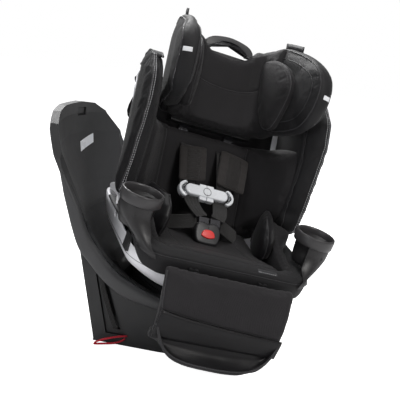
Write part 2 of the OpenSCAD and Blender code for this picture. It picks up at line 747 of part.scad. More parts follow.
base_plate();
base_shell();
rear_panel();
side_band_left();
side_band_right();
belt_guides();
recline_tracks();
base_feet();
base_screws();
blank_label();
panel_hook();
anchor_strap();
anchor_connectors();
recline_handle();
carriage();
bearing_ring();
swivel_release();
turntable();
hub_retainer();
turntable_screws();
seat_shell();
back_shell();
cup_mounts();
headrest_rails();
seat_foam();
seat_cushion();
back_cushion();
seat_side_left();
seat_side_right();
bolster_left();
bolster_right();
bolster_cap_left();
bolster_cap_right();
hip_pad_left();
hip_pad_right();
shoulder_straps();
lower_straps();
lap_straps();
shoulder_pad_left();
shoulder_pad_right();
crotch_strap();
buckle_body();
buckle_tongues();
buckle_button();
clip_left_half();
clip_right_half();
clip_button();
headrest_frame();
headrest_pad();
headrest_wing_left();
headrest_wing_right();
head_insert_left();
head_insert_right();
headrest_handle();
cup_holder_left();
cup_holder_right();
leg_rest_guides();
leg_rest_board();
leg_rest_pad();
leg_rest_flap();
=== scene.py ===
"""A rotating convertible car seat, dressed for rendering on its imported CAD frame."""

import json
import math

import bmesh
import bpy
import numpy as np
from mathutils import Matrix, Vector, noise
from mathutils.bvhtree import BVHTree


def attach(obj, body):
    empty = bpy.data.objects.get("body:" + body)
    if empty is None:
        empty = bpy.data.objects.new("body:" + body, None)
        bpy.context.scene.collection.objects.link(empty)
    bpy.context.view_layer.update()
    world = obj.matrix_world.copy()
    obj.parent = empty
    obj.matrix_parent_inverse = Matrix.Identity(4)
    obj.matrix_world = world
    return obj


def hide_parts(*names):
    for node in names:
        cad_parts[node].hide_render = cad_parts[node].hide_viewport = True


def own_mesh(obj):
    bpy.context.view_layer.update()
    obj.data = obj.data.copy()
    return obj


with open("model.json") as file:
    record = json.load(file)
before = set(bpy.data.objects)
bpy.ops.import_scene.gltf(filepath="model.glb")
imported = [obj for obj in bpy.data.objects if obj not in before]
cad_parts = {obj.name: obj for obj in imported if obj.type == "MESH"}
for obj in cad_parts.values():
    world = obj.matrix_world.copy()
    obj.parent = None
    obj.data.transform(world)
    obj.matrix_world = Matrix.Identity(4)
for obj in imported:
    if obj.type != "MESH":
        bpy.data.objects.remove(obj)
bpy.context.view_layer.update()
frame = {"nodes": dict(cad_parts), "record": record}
nodes = frame["nodes"]

# ---------- frames: lengths in these frames are millimetres ----------
MM = 0.001
SWIVEL_AT = Vector((0, 30, 79))
SWIVEL_LEAN = math.radians(15)
SEAT_TURN = math.radians(-58)
BACK_AT = Vector((0, 68, 125))
BACK_LEAN = math.radians(-25)
WORLD = Matrix.Identity(4)
CARRIAGE = Matrix.Translation(SWIVEL_AT) @ Matrix.Rotation(SWIVEL_LEAN, 4, "X")
SEAT = CARRIAGE @ Matrix.Rotation(SEAT_TURN, 4, "Z")
BACK = SEAT @ Matrix.Translation(BACK_AT) @ Matrix.Rotation(BACK_LEAN, 4, "X")
MIRROR = Matrix.Diagonal((-1, 1, 1, 1))


# ---------- materials ----------
def new_material(name):
    """New material with its nodes, links and principled shader."""
    m = bpy.data.materials.new(name)
    m.use_nodes = True
    return m, m.node_tree.nodes, m.node_tree.links, m.node_tree.nodes["Principled BSDF"]


def mottled_colour(n, link, bsdf, colour, spread, scale):
    """Base colour that drifts a little over the surface."""
    coords = n.new("ShaderNodeTexCoord")
    drift = n.new("ShaderNodeTexNoise")
    drift.inputs["Scale"].default_value = scale
    drift.inputs["Detail"].default_value = 5
    link.new(coords.outputs["Object"], drift.inputs["Vector"])
    ramp = n.new("ShaderNodeValToRGB")
    ramp.color_ramp.elements[0].position = 0.3
    ramp.color_ramp.elements[1].position = 0.72
    ramp.color_ramp.elements[0].color = (*[c * (1 - spread) for c in colour], 1)
    ramp.color_ramp.elements[1].color = (*[c * (1 + spread) for c in colour], 1)
    link.new(drift.outputs["Fac"], ramp.inputs["Fac"])
    link.new(ramp.outputs["Color"], bsdf.inputs["Base Color"])
    return coords


def fabric(name, colour, thread_mm=1.1, rough=0.82, sheen=0.25, bump=0.35, rib=False):
    """Knitted or woven cloth: two crossed thread waves, fuzz, and slow colour drift."""
    m, n, link, bsdf = new_material(name)
    coords = mottled_colour(n, link, bsdf, colour, 0.16, 14)
    heights = []
    for axis in ("X", "Z"):
        wave = n.new("ShaderNodeTexWave")
        wave.bands_direction = axis
        wave.inputs["Scale"].default_value = 0.314 / (thread_mm * MM)
        wave.inputs["Distortion"].default_value = 1.6
        wave.inputs["Detail"].default_value = 1
        wave.inputs["Detail Scale"].default_value = 2
        link.new(coords.outputs["Object"], wave.inputs["Vector"])
        heights.append(wave.outputs["Fac"])
    weave = n.new("ShaderNodeMath")
    weave.operation = "MAXIMUM" if not rib else "ADD"
    link.new(heights[0], weave.inputs[0])
    link.new(heights[1], weave.inputs[1])
    fuzz = n.new("ShaderNodeTexNoise")
    fuzz.inputs["Scale"].default_value = 900
    fuzz.inputs["Detail"].default_value = 3
    link.new(coords.outputs["Object"], fuzz.inputs["Vector"])
    total = n.new("ShaderNodeMath")
    total.operation = "MULTIPLY_ADD"
    total.inputs[1].default_value = 0.5
    link.new(fuzz.outputs["Fac"], total.inputs[0])
    link.new(weave.outputs[0], total.inputs[2])
    relief = n.new("ShaderNodeBump")
    relief.inputs["Strength"].default_value = bump
    relief.inputs["Distance"].default_value = 0.0005
    link.new(total.outputs[0], relief.inputs["Height"])
    # broad soft creases under the weave
    crease = n.new("ShaderNodeTexNoise")
    crease.inputs["Scale"].default_value = 26
    crease.inputs["Detail"].default_value = 2
    link.new(coords.outputs["Object"], crease.inputs["Vector"])
    crumple = n.new("ShaderNodeBump")
    crumple.inputs["Strength"].default_value = 0.12
    crumple.inputs["Distance"].default_value = 0.004
    link.new(crease.outputs["Fac"], crumple.inputs["Height"])
    link.new(crumple.outputs["Normal"], relief.inputs["Normal"])
    link.new(relief.outputs["Normal"], bsdf.inputs["Normal"])
    bsdf.inputs["Roughness"].default_value = rough
    bsdf.inputs["Sheen Weight"].default_value = sheen
    bsdf.inputs["Sheen Roughness"].default_value = 0.45
    bsdf.inputs["Specular IOR Level"].default_value = 0.28
    return m


def plastic(name, colour, rough=0.42, grain=0.12, grain_scale=1400, spread=0.07, coat=0.0):
    """Moulded plastic: fine spark-eroded grain, scuffed roughness, slightly worn tone."""
    m, n, link, bsdf = new_material(name)
    coords = mottled_colour(n, link, bsdf, colour, spread, 9)
    grainy = n.new("ShaderNodeTexNoise")
    grainy.inputs["Scale"].default_value = grain_scale
    grainy.inputs["Detail"].default_value = 4
    link.new(coords.outputs["Object"], grainy.inputs["Vector"])
    relief = n.new("ShaderNodeBump")
    relief.inputs["Strength"].default_value = grain
    relief.inputs["Distance"].default_value = 0.0003
    link.new(grainy.outputs["Fac"], relief.inputs["Height"])
    link.new(relief.outputs["Normal"], bsdf.inputs["Normal"])
    scuff = n.new("ShaderNodeTexNoise")
    scuff.inputs["Scale"].default_value = 40
    scuff.inputs["Detail"].default_value = 6
    link.new(coords.outputs["Object"], scuff.inputs["Vector"])
    span = n.new("ShaderNodeMapRange")
    span.inputs["To Min"].default_value = rough - 0.07
    span.inputs["To Max"].default_value = rough + 0.09
    link.new(scuff.outputs["Fac"], span.inputs["Value"])
    link.new(span.outputs[0], bsdf.inputs["Roughness"])
    bsdf.inputs["Coat Weight"].default_value = coat
    return m


def steel(name, colour):
    """Metal with fine brushed lines in one direction."""
    m, n, link, bsdf = new_material(name)
    coords = mottled_colour(n, link, bsdf, colour, 0.08, 30)
    stretch = n.new("ShaderNodeMapping")
    stretch.inputs["Scale"].default_value = (60, 60, 2200)
    link.new(coords.outputs["Object"], stretch.inputs["Vector"])
    lines = n.new("ShaderNodeTexNoise")
    lines.inputs["Scale"].default_value = 1
    link.new(stretch.outputs[0], lines.inputs["Vector"])
    span = n.new("ShaderNodeMapRange")
    span.inputs["To Min"].default_value = 0.25
    span.inputs["To Max"].default_value = 0.45
    link.new(lines.outputs["Fac"], span.inputs["Value"])
    link.new(span.outputs[0], bsdf.inputs["Roughness"])
    bsdf.inputs["Metallic"].default_value = 1
    return m


MATS = {
    "knit": fabric("knit_black", (0.0125, 0.0115, 0.0128), 0.9, 0.72, 0.10),
    "bolster_fabric": fabric("woven_black", (0.0100, 0.0096, 0.0108), 1.3, 0.6, 0.10),
    "satin": fabric("satin_black", (0.0095, 0.0090, 0.0102), 0.6, 0.38, 0.05, 0.12),
    "mesh": fabric("mesh_black", (0.0165, 0.0150, 0.0170), 2.2, 0.7, 0.14, 0.7),
    "piping": fabric("piping_grey", (0.020, 0.020, 0.022), 0.8, 0.5, 0.1),
    "dark_piping": fabric("piping_black", (0.038, 0.037, 0.040), 0.8, 0.42, 0.1),
    "webbing": fabric("webbing_black", (0.026, 0.025, 0.025), 1.6, 0.6, 0.12, 0.8, rib=True),
    "pad_fabric": fabric("pad_cloth", (0.026, 0.023, 0.022), 1.2, 0.8, 0.16),
    "red_webbing": fabric("red_webbing", (0.55, 0.012, 0.03), 1.2, 0.6, 0.2),
    "label": fabric("label_cloth", (0.90, 0.91, 0.94), 0.5, 0.7, 0.1, 0.2),
    "tag": fabric("tag_cloth", (0.03, 0.03, 0.033), 0.6, 0.6, 0.1, 0.2),
    "thread": fabric("pale_thread", (0.62, 0.62, 0.64), 0.5, 0.6, 0.1, 0.2),
    "base_plastic": plastic("base_black", (0.0135, 0.0135, 0.0145), 0.48, 0.2),
    "bowl_plastic": plastic("bowl_black", (0.030, 0.030, 0.031), 0.5, 0.2),
    "band_plastic": plastic("band_charcoal", (0.042, 0.042, 0.044), 0.44, 0.18),
    "cup_plastic": plastic("cup_black", (0.020, 0.019, 0.020), 0.42, 0.16),
    "shell_plastic": plastic("shell_grey", (0.86, 0.86, 0.89), 0.34, 0.06, coat=0.15),
    "clip_plastic": plastic("clip_grey", (0.82, 0.84, 0.87), 0.28, 0.05, coat=0.2),
    "dark_plastic": plastic("buckle_black", (0.022, 0.022, 0.024), 0.4, 0.12),
    "red_plastic": plastic("button_red", (0.86, 0.045, 0.04), 0.33, 0.05, coat=0.3),
    "collar_plastic": plastic("collar_charcoal", (0.050, 0.048, 0.050), 0.36, 0.14),
    "seam_grey": plastic("seam_grey", (0.36, 0.36, 0.38), 0.4, 0.06),
    "dark_steel": steel("blackened_steel", (0.035, 0.035, 0.038)),
    "steel": steel("brushed_steel", (0.5, 0.51, 0.53)),
    "foam": plastic("foam_grey", (0.5, 0.5, 0.52), 0.85, 0.6, 300),
    "rubber": plastic("foot_rubber", (0.02, 0.02, 0.02), 0.8, 0.3),
}
for part in frame["record"]["subparts"]:
    mesh = nodes[part["node"]].data
    mesh.materials.clear()
    mesh.materials.append(MATS[part["material_slot"]])


# ---------- mesh helpers ----------
def smooth_loop(points, per=8):
    """Closed Catmull-Rom curve through the given points."""
    out = []
    count = len(points)
    for i in range(count):
        p = [np.array(points[(i + k - 1) % count], float) for k in range(4)]
        for j in range(per):
            t = j / per
            out.append(0.5 * ((2 * p[1]) + (p[2] - p[0]) * t
                              + (2 * p[0] - 5 * p[1] + 4 * p[2] - p[3]) * t * t
                              + (3 * p[1] - p[0] - 3 * p[2] + p[3]) * t ** 3))
    return out


def smooth_path(points, per=8):
    """Open Catmull-Rom curve through the given points."""
    pts = [np.array(p, float) for p in points]
    pts = [2 * pts[0] - pts[1]] + pts + [2 * pts[-1] - pts[-2]]
    out = []
    for i in range(1, len(pts) - 2):
        p = pts[i - 1:i + 3]
        for j in range(per):
            t = j / per
            out.append(0.5 * ((2 * p[1]) + (p[2] - p[0]) * t
                              + (2 * p[0] - 5 * p[1] + 4 * p[2] - p[3]) * t * t
                              + (3 * p[1] - p[0] - 3 * p[2] + p[3]) * t ** 3))
    out.append(pts[-2])
    return out


def inset(loop, d):
    """Loop of 2D points moved inward by d along its normals (loop runs either way)."""
    area = sum(a[0] * b[1] - b[0] * a[1] for a, b in zip(loop, loop[1:] + loop[:1]))
    side = 1 if area > 0 else -1
    out = []
    count = len(loop)
    for i in range(count):
        t = loop[(i + 1) % count] - loop[i - 1]
        t = t / (np.linalg.norm(t) + 1e-9)
        out.append(loop[i] + side * d * np.array([-t[1], t[0]]))
    return out


def make(name, verts, faces, mat, body, where=WORLD, slot=None, shade=True):
    """Mesh object from millimetre points in a local frame."""
    scale = Matrix.Diagonal((MM, MM, MM, 1))
    to_world = scale @ where
    mesh = bpy.data.meshes.new(name)
    mesh.from_pydata([to_world @ Vector(v) for v in verts], [], faces)
    mesh.validate()
    obj = bpy.data.objects.new(name, mesh)
    bpy.context.scene.collection.objects.link(obj)
    bm = bmesh.new()
    bm.from_mesh(mesh)
    bmesh.ops.remove_doubles(bm, verts=bm.verts, dist=1e-6)
    bmesh.ops.recalc_face_normals(bm, faces=bm.faces)
    bm.to_mesh(mesh)
    bm.free()
    mesh.materials.append(MATS[mat])
    if shade:
        mesh.polygons.foreach_set("use_smooth", [True] * len(mesh.polygons))
    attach(obj, body)
    return obj


def rings_to_mesh(rings, cap=True):
    """Faces that join closed rings of equal length; the end rings are capped by fans."""
    size = len(rings[0])
    verts = [tuple(p) for ring in rings for p in ring]
    faces = []
    for r in range(len(rings) - 1):
        for i in range(size):
            j = (i + 1) % size
            faces.append((r * size + i, r * size + j, (r + 1) * size + j, (r + 1) * size + i))
    if cap:
        for r in (0, len(rings) - 1):
            verts.append(tuple(np.mean(rings[r], axis=0)))
            centre = len(verts) - 1
            for i in range(size):
                faces.append((r * size + i, r * size + (i + 1) % size, centre))
    return verts, faces


def grid_mesh(rows):
    """Open sheet through rows of equal length."""
    size = len(rows[0])
    verts = [tuple(p) for row in rows for p in row]
    faces = [(r * size + i, r * size + i + 1, (r + 1) * size + i + 1, (r + 1) * size + i)
             for r in range(len(rows) - 1) for i in range(size - 1)]
    return verts, faces


def slab_mesh(loop, lo, hi, roll, axes):
    """Closed mesh of a 2D loop swept from lo to hi along the third axis, with rolled edges."""
    steps = 5
    low = [(lo + roll * (1 - math.cos(math.pi / 2 * k / steps)),
            roll * (1 - math.sin(math.pi / 2 * k / steps))) for k in range(steps + 1)]
    high = [(hi + lo - c, d) for c, d in reversed(low)]
    mid = [] if hi - lo <= 2 * roll + 1 else [((lo + hi) / 2, 0)]
    rings = []
    for c, d in low + mid + high:
        ring = inset(loop, d) if d > 1e-6 else loop
        rings.append([axes(p[0], p[1], c) for p in ring])
    return rings_to_mesh(rings)


def slab(name, outline, lo, hi, roll, axes, mat, body, where, per=6, closed=None, slot=None):
    """Thick rounded shape from an outline; axes maps outline (a, b) and sweep c to x, y, z."""
    verts, faces = slab_mesh(closed or smooth_loop(outline, per), lo, hi, roll, axes)
    return make(name, verts, faces, mat, body, where, slot)


def merged(*meshes):
    """One vertex and face list out of several."""
    verts, faces = [], []
    for part_verts, part_faces in meshes:
        base = len(verts)
        verts += list(part_verts)
        faces += [tuple(base + i for i in f) for f in part_faces]
    return verts, faces


AX_X = lambda a, b, c: (c, a, b)      # outline in (y, z), swept across x
AX_Y = lambda a, b, c: (a, c, b)      # outline in (x, z), swept along y
AX_Z = lambda a, b, c: (a, b, c)      # outline in (x, y), swept up z


def modifier(obj, kind, **values):
    """Adds one modifier with the given settings and applies it."""
    mod = obj.modifiers.new(kind.lower(), kind)
    for key, value in values.items():
        setattr(mod, key, value)
    bpy.context.view_layer.objects.active = obj
    obj.select_set(True)
    bpy.ops.object.modifier_apply(modifier=mod.name)
    obj.select_set(False)
    return obj


def shade_smooth(obj):
    """Smooth shading on every face."""
    obj.data.polygons.foreach_set("use_smooth", [True] * len(obj.data.polygons))


def coords_of(obj):
    """Vertex positions as an array, in metres."""
    co = np.zeros(len(obj.data.vertices) * 3)
    obj.data.vertices.foreach_get("co", co)
    return co.reshape(-1, 3)


def puff(obj, voxel=5, cap=7, pressure=4, frames=20, smooth=4):
    modifier(obj, "REMESH", mode="VOXEL", voxel_size=voxel * MM)
    modifier(obj, "SMOOTH", factor=0.5, iterations=smooth)
    start = coords_of(obj)
    cloth = obj.modifiers.new("cloth", "CLOTH")
    cloth.settings.use_pressure = True
    cloth.settings.uniform_pressure_force = pressure
    cloth.settings.quality = 4
    cloth.settings.tension_stiffness = 18
    cloth.settings.compression_stiffness = 12
    cloth.settings.bending_stiffness = 0.4
    cloth.settings.effector_weights.gravity = 0
    cloth.point_cache.frame_start = 1
    cloth.point_cache.frame_end = frames
    scene = bpy.context.scene
    for f in range(1, frames + 1):
        scene.frame_set(f)
    graph = bpy.context.evaluated_depsgraph_get()
    posed = coords_of(obj.evaluated_get(graph))
    obj.modifiers.remove(cloth)
    scene.frame_set(1)
    move = posed - start
    far = np.linalg.norm(move, axis=1)
    move *= (np.minimum(far, cap * MM) / np.maximum(far, 1e-9))[:, None]
    obj.data.vertices.foreach_set("co", (start + move).ravel())
    obj.data.update()
    modifier(obj, "SUBSURF", levels=1, render_levels=1)
    shade_smooth(obj)
    return obj


def local_to_world(where, points):
    """Points of a body frame in millimetres as world points in metres."""
    scale = Matrix.Diagonal((MM, MM, MM, 1))
    return np.array([tuple(scale @ where @ Vector(p)) for p in points])


def groove(obj, where, points, width=4, depth=3):
    """Sinks a sewn seam into a pad along a path."""
    path = local_to_world(where, points)
    co = coords_of(obj)
    normals = np.zeros(len(co) * 3)
    obj.data.vertices.foreach_get("normal", normals)
    normals = normals.reshape(-1, 3)
    best = np.full(len(co), 1e9)
    for a, b in zip(path[:-1], path[1:]):
        ab = b - a
        t = np.clip(((co - a) @ ab) / (ab @ ab + 1e-12), 0, 1)
        best = np.minimum(best, np.linalg.norm(co - (a + t[:, None] * ab), axis=1))
    sink = depth * MM * np.exp(-(best / (width * MM)) ** 2)
    obj.data.vertices.foreach_set("co", (co - normals * sink[:, None]).ravel())
    obj.data.update()


def on_surface(obj, where, points, lift=0.0, reach=60, with_normals=False):
    """Path moved onto a pad's skin, lifted by a little, in metres."""
    tree = BVHTree.FromPolygons([v.co for v in obj.data.vertices],
                                [p.vertices for p in obj.data.polygons])
    out, normals = [], []
    for p in local_to_world(where, points):
        hit, normal, _, _ = tree.find_nearest(Vector(p), reach * MM)
        if hit is None:
            continue
        out.append(hit + normal * lift * MM)
        normals.append(normal)
    return (out, normals) if with_normals else out


def tube(name, path, radius, mat, body, sides=8, closed=False, slot=None):
    """Round cord along points in metres."""
    path = [Vector(p) for p in path]
    rings = []
    count = len(path)
    up = None
    for i, p in enumerate(path):
        before = path[i - 1] if (i or closed) else p
        after = path[(i + 1) % count] if (i < count - 1 or closed) else p
        t = (after - before).normalized()
        if up is None:
            up = t.orthogonal().normalized()
        up = (up - t * up.dot(t)).normalized()
        side = t.cross(up)
        rings.append([p + (up * math.cos(a) + side * math.sin(a)) * radius * MM
                      for a in (2 * math.pi * k / sides for k in range(sides))])
    if closed:
        rings.append(rings[0])
    verts, faces = rings_to_mesh([[np.array(q) for q in r] for r in rings], cap=not closed)
    metres = Matrix.Diagonal((1000, 1000, 1000, 1))
    return make(name, verts, faces, mat, body, metres, slot)


def resample(path, step):
    """Points along a path at an even step."""
    path = [Vector(p) for p in path]
    out = [path[0]]
    left = step
    for a, b in zip(path[:-1], path[1:]):
        length = (b - a).length
        at = 0
        while length - at >= left:
            at += left
            out.append(a + (b - a) * (at / length))
            left = step
        left -= length - at
    return out


def stitches(name, path, mat, body, length=3.2, gap=2.0, radius=0.45):
    """Row of short thread dashes lying along a path in metres."""
    points = resample(path, (length + gap) * MM)
    verts, faces = [], []
    for a, b in zip(points[:-1], points[1:]):
        t = (b - a).normalized()
        up = t.orthogonal().normalized()
        side = t.cross(up)
        end = a + t * length * MM
        base = len(verts)
        for centre, r in ((a, 0.4), (a.lerp(end, 0.25), 1), (a.lerp(end, 0.75), 1), (end, 0.4)):
            for k in range(5):
                ang = 2 * math.pi * k / 5
                verts.append(centre + (up * math.cos(ang) + side * math.sin(ang)) * radius * MM * r)
        for ring in range(3):
            for k in range(5):
                j = (k + 1) % 5
                faces.append((base + ring * 5 + k, base + ring * 5 + j,
                              base + ring * 5 + 5 + j, base + ring * 5 + 5 + k))
        faces.append(tuple(base + k for k in range(4, -1, -1)))
        faces.append(tuple(base + 15 + k for k in range(5)))
    metres = Matrix.Diagonal((1000, 1000, 1000, 1))
    return make(name, verts, faces, mat, body, metres)


def seam(pad, where, points, body, name, width=4, depth=3, pipe=0.0, pipe_mat="dark_piping",
         thread=None, offset=4.0):
    """A sewn line: groove, and if asked a piping cord and a row of stitches on the skin."""
    groove(pad, where, points, width, depth)
    if pipe:
        path = on_surface(pad, where, points, pipe * 0.3)
        tube(name + "_piping", path, pipe, pipe_mat, body)
    if thread:
        path = on_surface(pad, where, points, offset)
        stitches(name + "_thread", path, thread, body)


def sided(side, name):
    """Piece name with its side."""
    return f"{name}_{'left' if side < 0 else 'right'}"


def flipped(side, where):
    """A body frame mirrored for the left side."""
    return where @ MIRROR if side < 0 else where


# ---------- headrest ----------
HEAD_OUTLINE = [(-98, 248), (0, 243), (98, 248), (106, 262), (108, 320), (108, 390), (106, 442),
                (99, 466), (84, 468), (69, 458), (54, 445), (34, 437), (0, 434), (-34, 437), (-54, 445),
                (-69, 458), (-84, 468), (-99, 466), (-106, 442), (-108, 390), (-108, 320), (-106, 262)]
WING_AT = Matrix.Translation((126.5, -8, 0)) @ Matrix.Rotation(math.radians(12.3), 4, "Z")


def wing_root(side):
    """Cushion that bends forward from the centre pad into a wing."""
    plan = [(74, -8), (92, -8), (112, -14), (128, -34), (132, -70), (124, -84), (112, -76), (106, -58),
            (97, -44), (84, -34), (70, -30)]
    loop = smooth_loop([(side * x, y) for x, y in plan], 4)
    verts, faces = slab_mesh(loop, 252, 476, 9, AX_Z)
    out = []
    for x, y, z in verts:
        top = np.interp(abs(x), (70, 84, 100, 124), (456, 462, 470, 476))
        foot = np.interp(-y, (30, 100), (250, 262))
        out.append((x, y, foot + (z - 252) / 224 * (top - foot)))
    return out, faces


def headrest():
    """Centre pad with both wings, its seam and its small parts."""
    centre = slab_mesh(smooth_loop(HEAD_OUTLINE, 6), -28, -4, 10, AX_Y)
    verts, faces = merged(centre, wing_root(-1), wing_root(1))
    pad = make("headrest_cover", verts, faces, "knit", "headrest", BACK)
    puff(pad, cap=8, pressure=5)
    smile = smooth_path([(-96, -48, 372), (-60, -40, 353), (0, -40, 345), (60, -40, 353), (96, -48, 372)])
    seam(pad, BACK, smile, "headrest", "headrest_smile", 3.5, 3, pipe=0.7)
    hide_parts("headrest_pad")
    for side in (-1, 1):
        headrest_wing(side)


def headrest_wing(side):
    """Deep side wing: broad padded front rim, seams on both its edges, pillow, label and tag."""
    where = flipped(side, BACK) @ WING_AT
    outline = [(10, 264), (-40, 262), (-100, 259), (-150, 264), (-190, 288), (-214, 330), (-218, 374),
               (-198, 412), (-150, 446), (-92, 470), (-50, 481), (-14, 478), (8, 462), (12, 360)]
    loop = smooth_loop(outline, 8)
    wing = slab(sided(side, "wing"), None, -20, 15, 14, AX_X, "bolster_fabric", "headrest", where,
                closed=loop)
    back = (Matrix.Diagonal((MM, MM, MM, 1)) @ where).inverted()
    forth = back.inverted()
    for v in wing.data.vertices:
        p = back @ v.co
        reach = min(max((-p.y - 150) / 45, 0), 1)
        p.x = p.x * (1 + 0.28 * reach * reach * (3 - 2 * reach))
        v.co = forth @ p
    puff(wing, cap=6, pressure=2.5, frames=14)
    rim = open_loop([p for p in inset(loop, 3)], -2)
    for word, x, pipe in (("outer", 26, 1.5), ("inner", -24, 1.2)):
        path = [(x, p[0], p[1]) for p in rim]
        seam(wing, where, path, "headrest", f"{sided(side, 'wing_rim')}_{word}", 2.5, 1.5, pipe=pipe)
    lines = on_surface(wing, where, [(22, p[0], p[1]) for p in rim], 0.5)
    stitches(sided(side, "wing_edge_thread"), lines, "thread", "headrest", 2.4, 2.8, 0.3)
    band = [(-30, p[0], p[1]) for p in open_loop(inset(loop, 27), -6)]
    seam(wing, where, band, "headrest", sided(side, "wing_band"), 2.5, 1.5, pipe=0.8)
    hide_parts(sided(side, "headrest_wing"))
    insert = [(-12, 430), (-55, 438), (-100, 420), (-128, 386), (-132, 350), (-108, 299), (-82, 268),
              (-50, 275), (-22, 330)]
    pillow = slab(sided(side, "wing_pillow"), insert, -48, -18, 10, AX_X, "knit", "headrest", where)
    puff(pillow, cap=7, pressure=5)
    edge = [(-40, p[0], p[1]) for p in smooth_loop(insert, 8)]
    path = on_surface(pillow, where, edge, 0.2)
    tube(sided(side, "wing_pillow_piping"), path, 1.1, "dark_piping", "headrest", closed=True)
    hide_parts(sided(side, "head_insert"))
    high = 352 if side < 0 else 338
    patch(sided(side, "wing_label"), wing, where, (4, -232, high), (0, 0.3, 1), 11, 5, "label", "headrest")
    tag_on_top(sided(side, "wing_tag"), where)


def open_loop(loop, before):
    """The part of a closed loop in front of a limit, as one open run."""
    run = [p for p in loop if p[0] < before]
    gaps = [np.linalg.norm(run[i] - run[i - 1]) for i in range(len(run))]
    start = int(np.argmax(gaps))
    return run[start:] + run[:start]


def patch(name, pad, where, at, up, half_w, half_h, mat, body):
    """Small sewn label that follows a pad's skin."""
    centre, normals = on_surface(pad, where, [at], 0.6, with_normals=True)
    if not centre:
        return None
    n = normals[0]
    vertical = (where.to_3x3() @ Vector(up)).normalized()
    vertical = (vertical - n * vertical.dot(n)).normalized()
    across = vertical.cross(n)
    tree = BVHTree.FromPolygons([v.co for v in pad.data.vertices],
                                [p.vertices for p in pad.data.polygons])
    steps = 6
    front, back = [], []
    for i in range(steps + 1):
        for j in range(steps + 1):
            a = (i / steps * 2 - 1) * half_w * MM
            b = (j / steps * 2 - 1) * half_h * MM
            p = centre[0] + across * a + vertical * b
            hit, normal, _, _ = tree.find_nearest(p)
            front.append(hit + normal * 0.9 * MM)
            back.append(hit - normal * 0.2 * MM)
    count = (steps + 1) ** 2
    verts = front + back
    faces = []
    for i in range(steps):
        for j in range(steps):
            a = i * (steps + 1) + j
            quad = (a, a + 1, a + steps + 2, a + steps + 1)
            faces.append(quad)
            faces.append(tuple(count + k for k in reversed(quad)))
    ring = ([i * (steps + 1) for i in range(steps + 1)]
            + [steps * (steps + 1) + j for j in range(1, steps + 1)]
            + [i * (steps + 1) + steps for i in range(steps - 1, -1, -1)]
            + [j for j in range(steps - 1, 0, -1)])
    for a, b in zip(ring, ring[1:] + ring[:1]):
        faces.append((a, b, count + b, count + a))
    metres = Matrix.Diagonal((1000, 1000, 1000, 1))
    return make(name, verts, faces, mat, body, metres)


def tag_on_top(name, where):
    """Folded cloth tag that stands up from the top of a wing, with one row of pale stitching."""
    rings = []
    mid = []
    for i in range(9):
        t = i / 8
        y = -104 + 66 * t
        z = 464 + 18 * t - 5 * (t - 0.5) ** 2
        lean = 1.5 * math.sin(t * 5)
        rings.append([(1.5 + lean, y, z), (2.3 + lean * 1.3, y, z + 17), (3.3 + lean * 1.3, y, z + 17),
                      (2.7 + lean, y, z)])
        mid.append(tuple(where @ Vector((1.6 + lean * 1.2, y, z + 11.5)) * MM))
    verts, faces = rings_to_mesh([[np.array(p) for p in r] for r in rings])
    stitches(name + "_thread", mid[1:-1], "thread", "headrest", 3.0, 1.6, 0.45)
    return make(name, verts, faces, "tag", "headrest", where)


def headrest_grip():
    """Curved pull handle with a crescent opening under its bar."""
    outer = smooth_path([(-64, 440), (-62, 456), (-44, 469), (0, 476), (44, 469), (62, 456), (64, 440)], 8)
    inner = smooth_path([(46, 440), (42, 448), (26, 455), (0, 458.5), (-26, 455), (-42, 448), (-46, 440)], 8)
    return slab("headrest_grip", None, -19, -5, 3, AX_Y, "band_plastic", "headrest_handle", BACK,
                closed=outer + inner)


def torso_wing(side):
    """Sloping side of the torso cover, from the back channel forward to the bolster."""
    levels = ((34, -40), (50, -66), (74, -88), (110, -108), (150, -124), (200, -134), (228, -130), (242, -60))
    rings = []
    for u, front in levels:
        ring = [(104, 20), (106, 8)]
        for t in (0.2, 0.4, 0.6, 0.8, 0.95):
            ring.append((106 + 76 * t, 8 + (front - 8) * t ** 1.35))
        ring += [(190, front + 4), (195, front + 16), (195, -20), (190, 20)]
        rings.append([np.array((side * x, y, u)) for x, y in ring])
    return rings_to_mesh(rings)


# ---------- torso padding ----------
def back_padding():
    """Cover of the backrest with its seams."""
    centre = slab_mesh(smooth_loop([(-170, 14), (0, 10), (170, 14), (174, 110), (174, 215), (120, 238),
                                    (0, 240), (-120, 238), (-174, 215), (-174, 110)], 6), 12, 31, 8, AX_Y)
    verts, faces = merged(centre, torso_wing(-1), torso_wing(1))
    pad = make("back_cover", verts, faces, "knit", "seat", BACK)
    puff(pad, cap=6, pressure=4)
    for side in (-1, 1):
        seam(pad, BACK, [(side * 108, 4, u) for u in range(30, 238, 8)], "seat",
             sided(side, "back_channel"), 4, 4, pipe=0.7)
    upper = slab("back_cover_upper", [(-188, 226), (0, 225), (188, 226), (192, 300), (186, 338),
                                      (0, 342), (-186, 338), (-192, 300)], 29.4, 33.6, 1.6,
                 AX_Y, "knit", "seat", BACK)
    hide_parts("back_cushion")
    return pad, upper


def bolster_inner(u):
    """How far a bolster's inner crease lies behind its outline at a height."""
    return np.interp(u, (63, 84, 145, 209, 283, 336), (50, 58, 44, 30, 32, 42))


def bolster_outer(u):
    """The same for its outer edge, which stands in front of the outline higher up."""
    return np.interp(u, (63, 145, 240, 300, 340), (24, 2, -28, -28, -6))


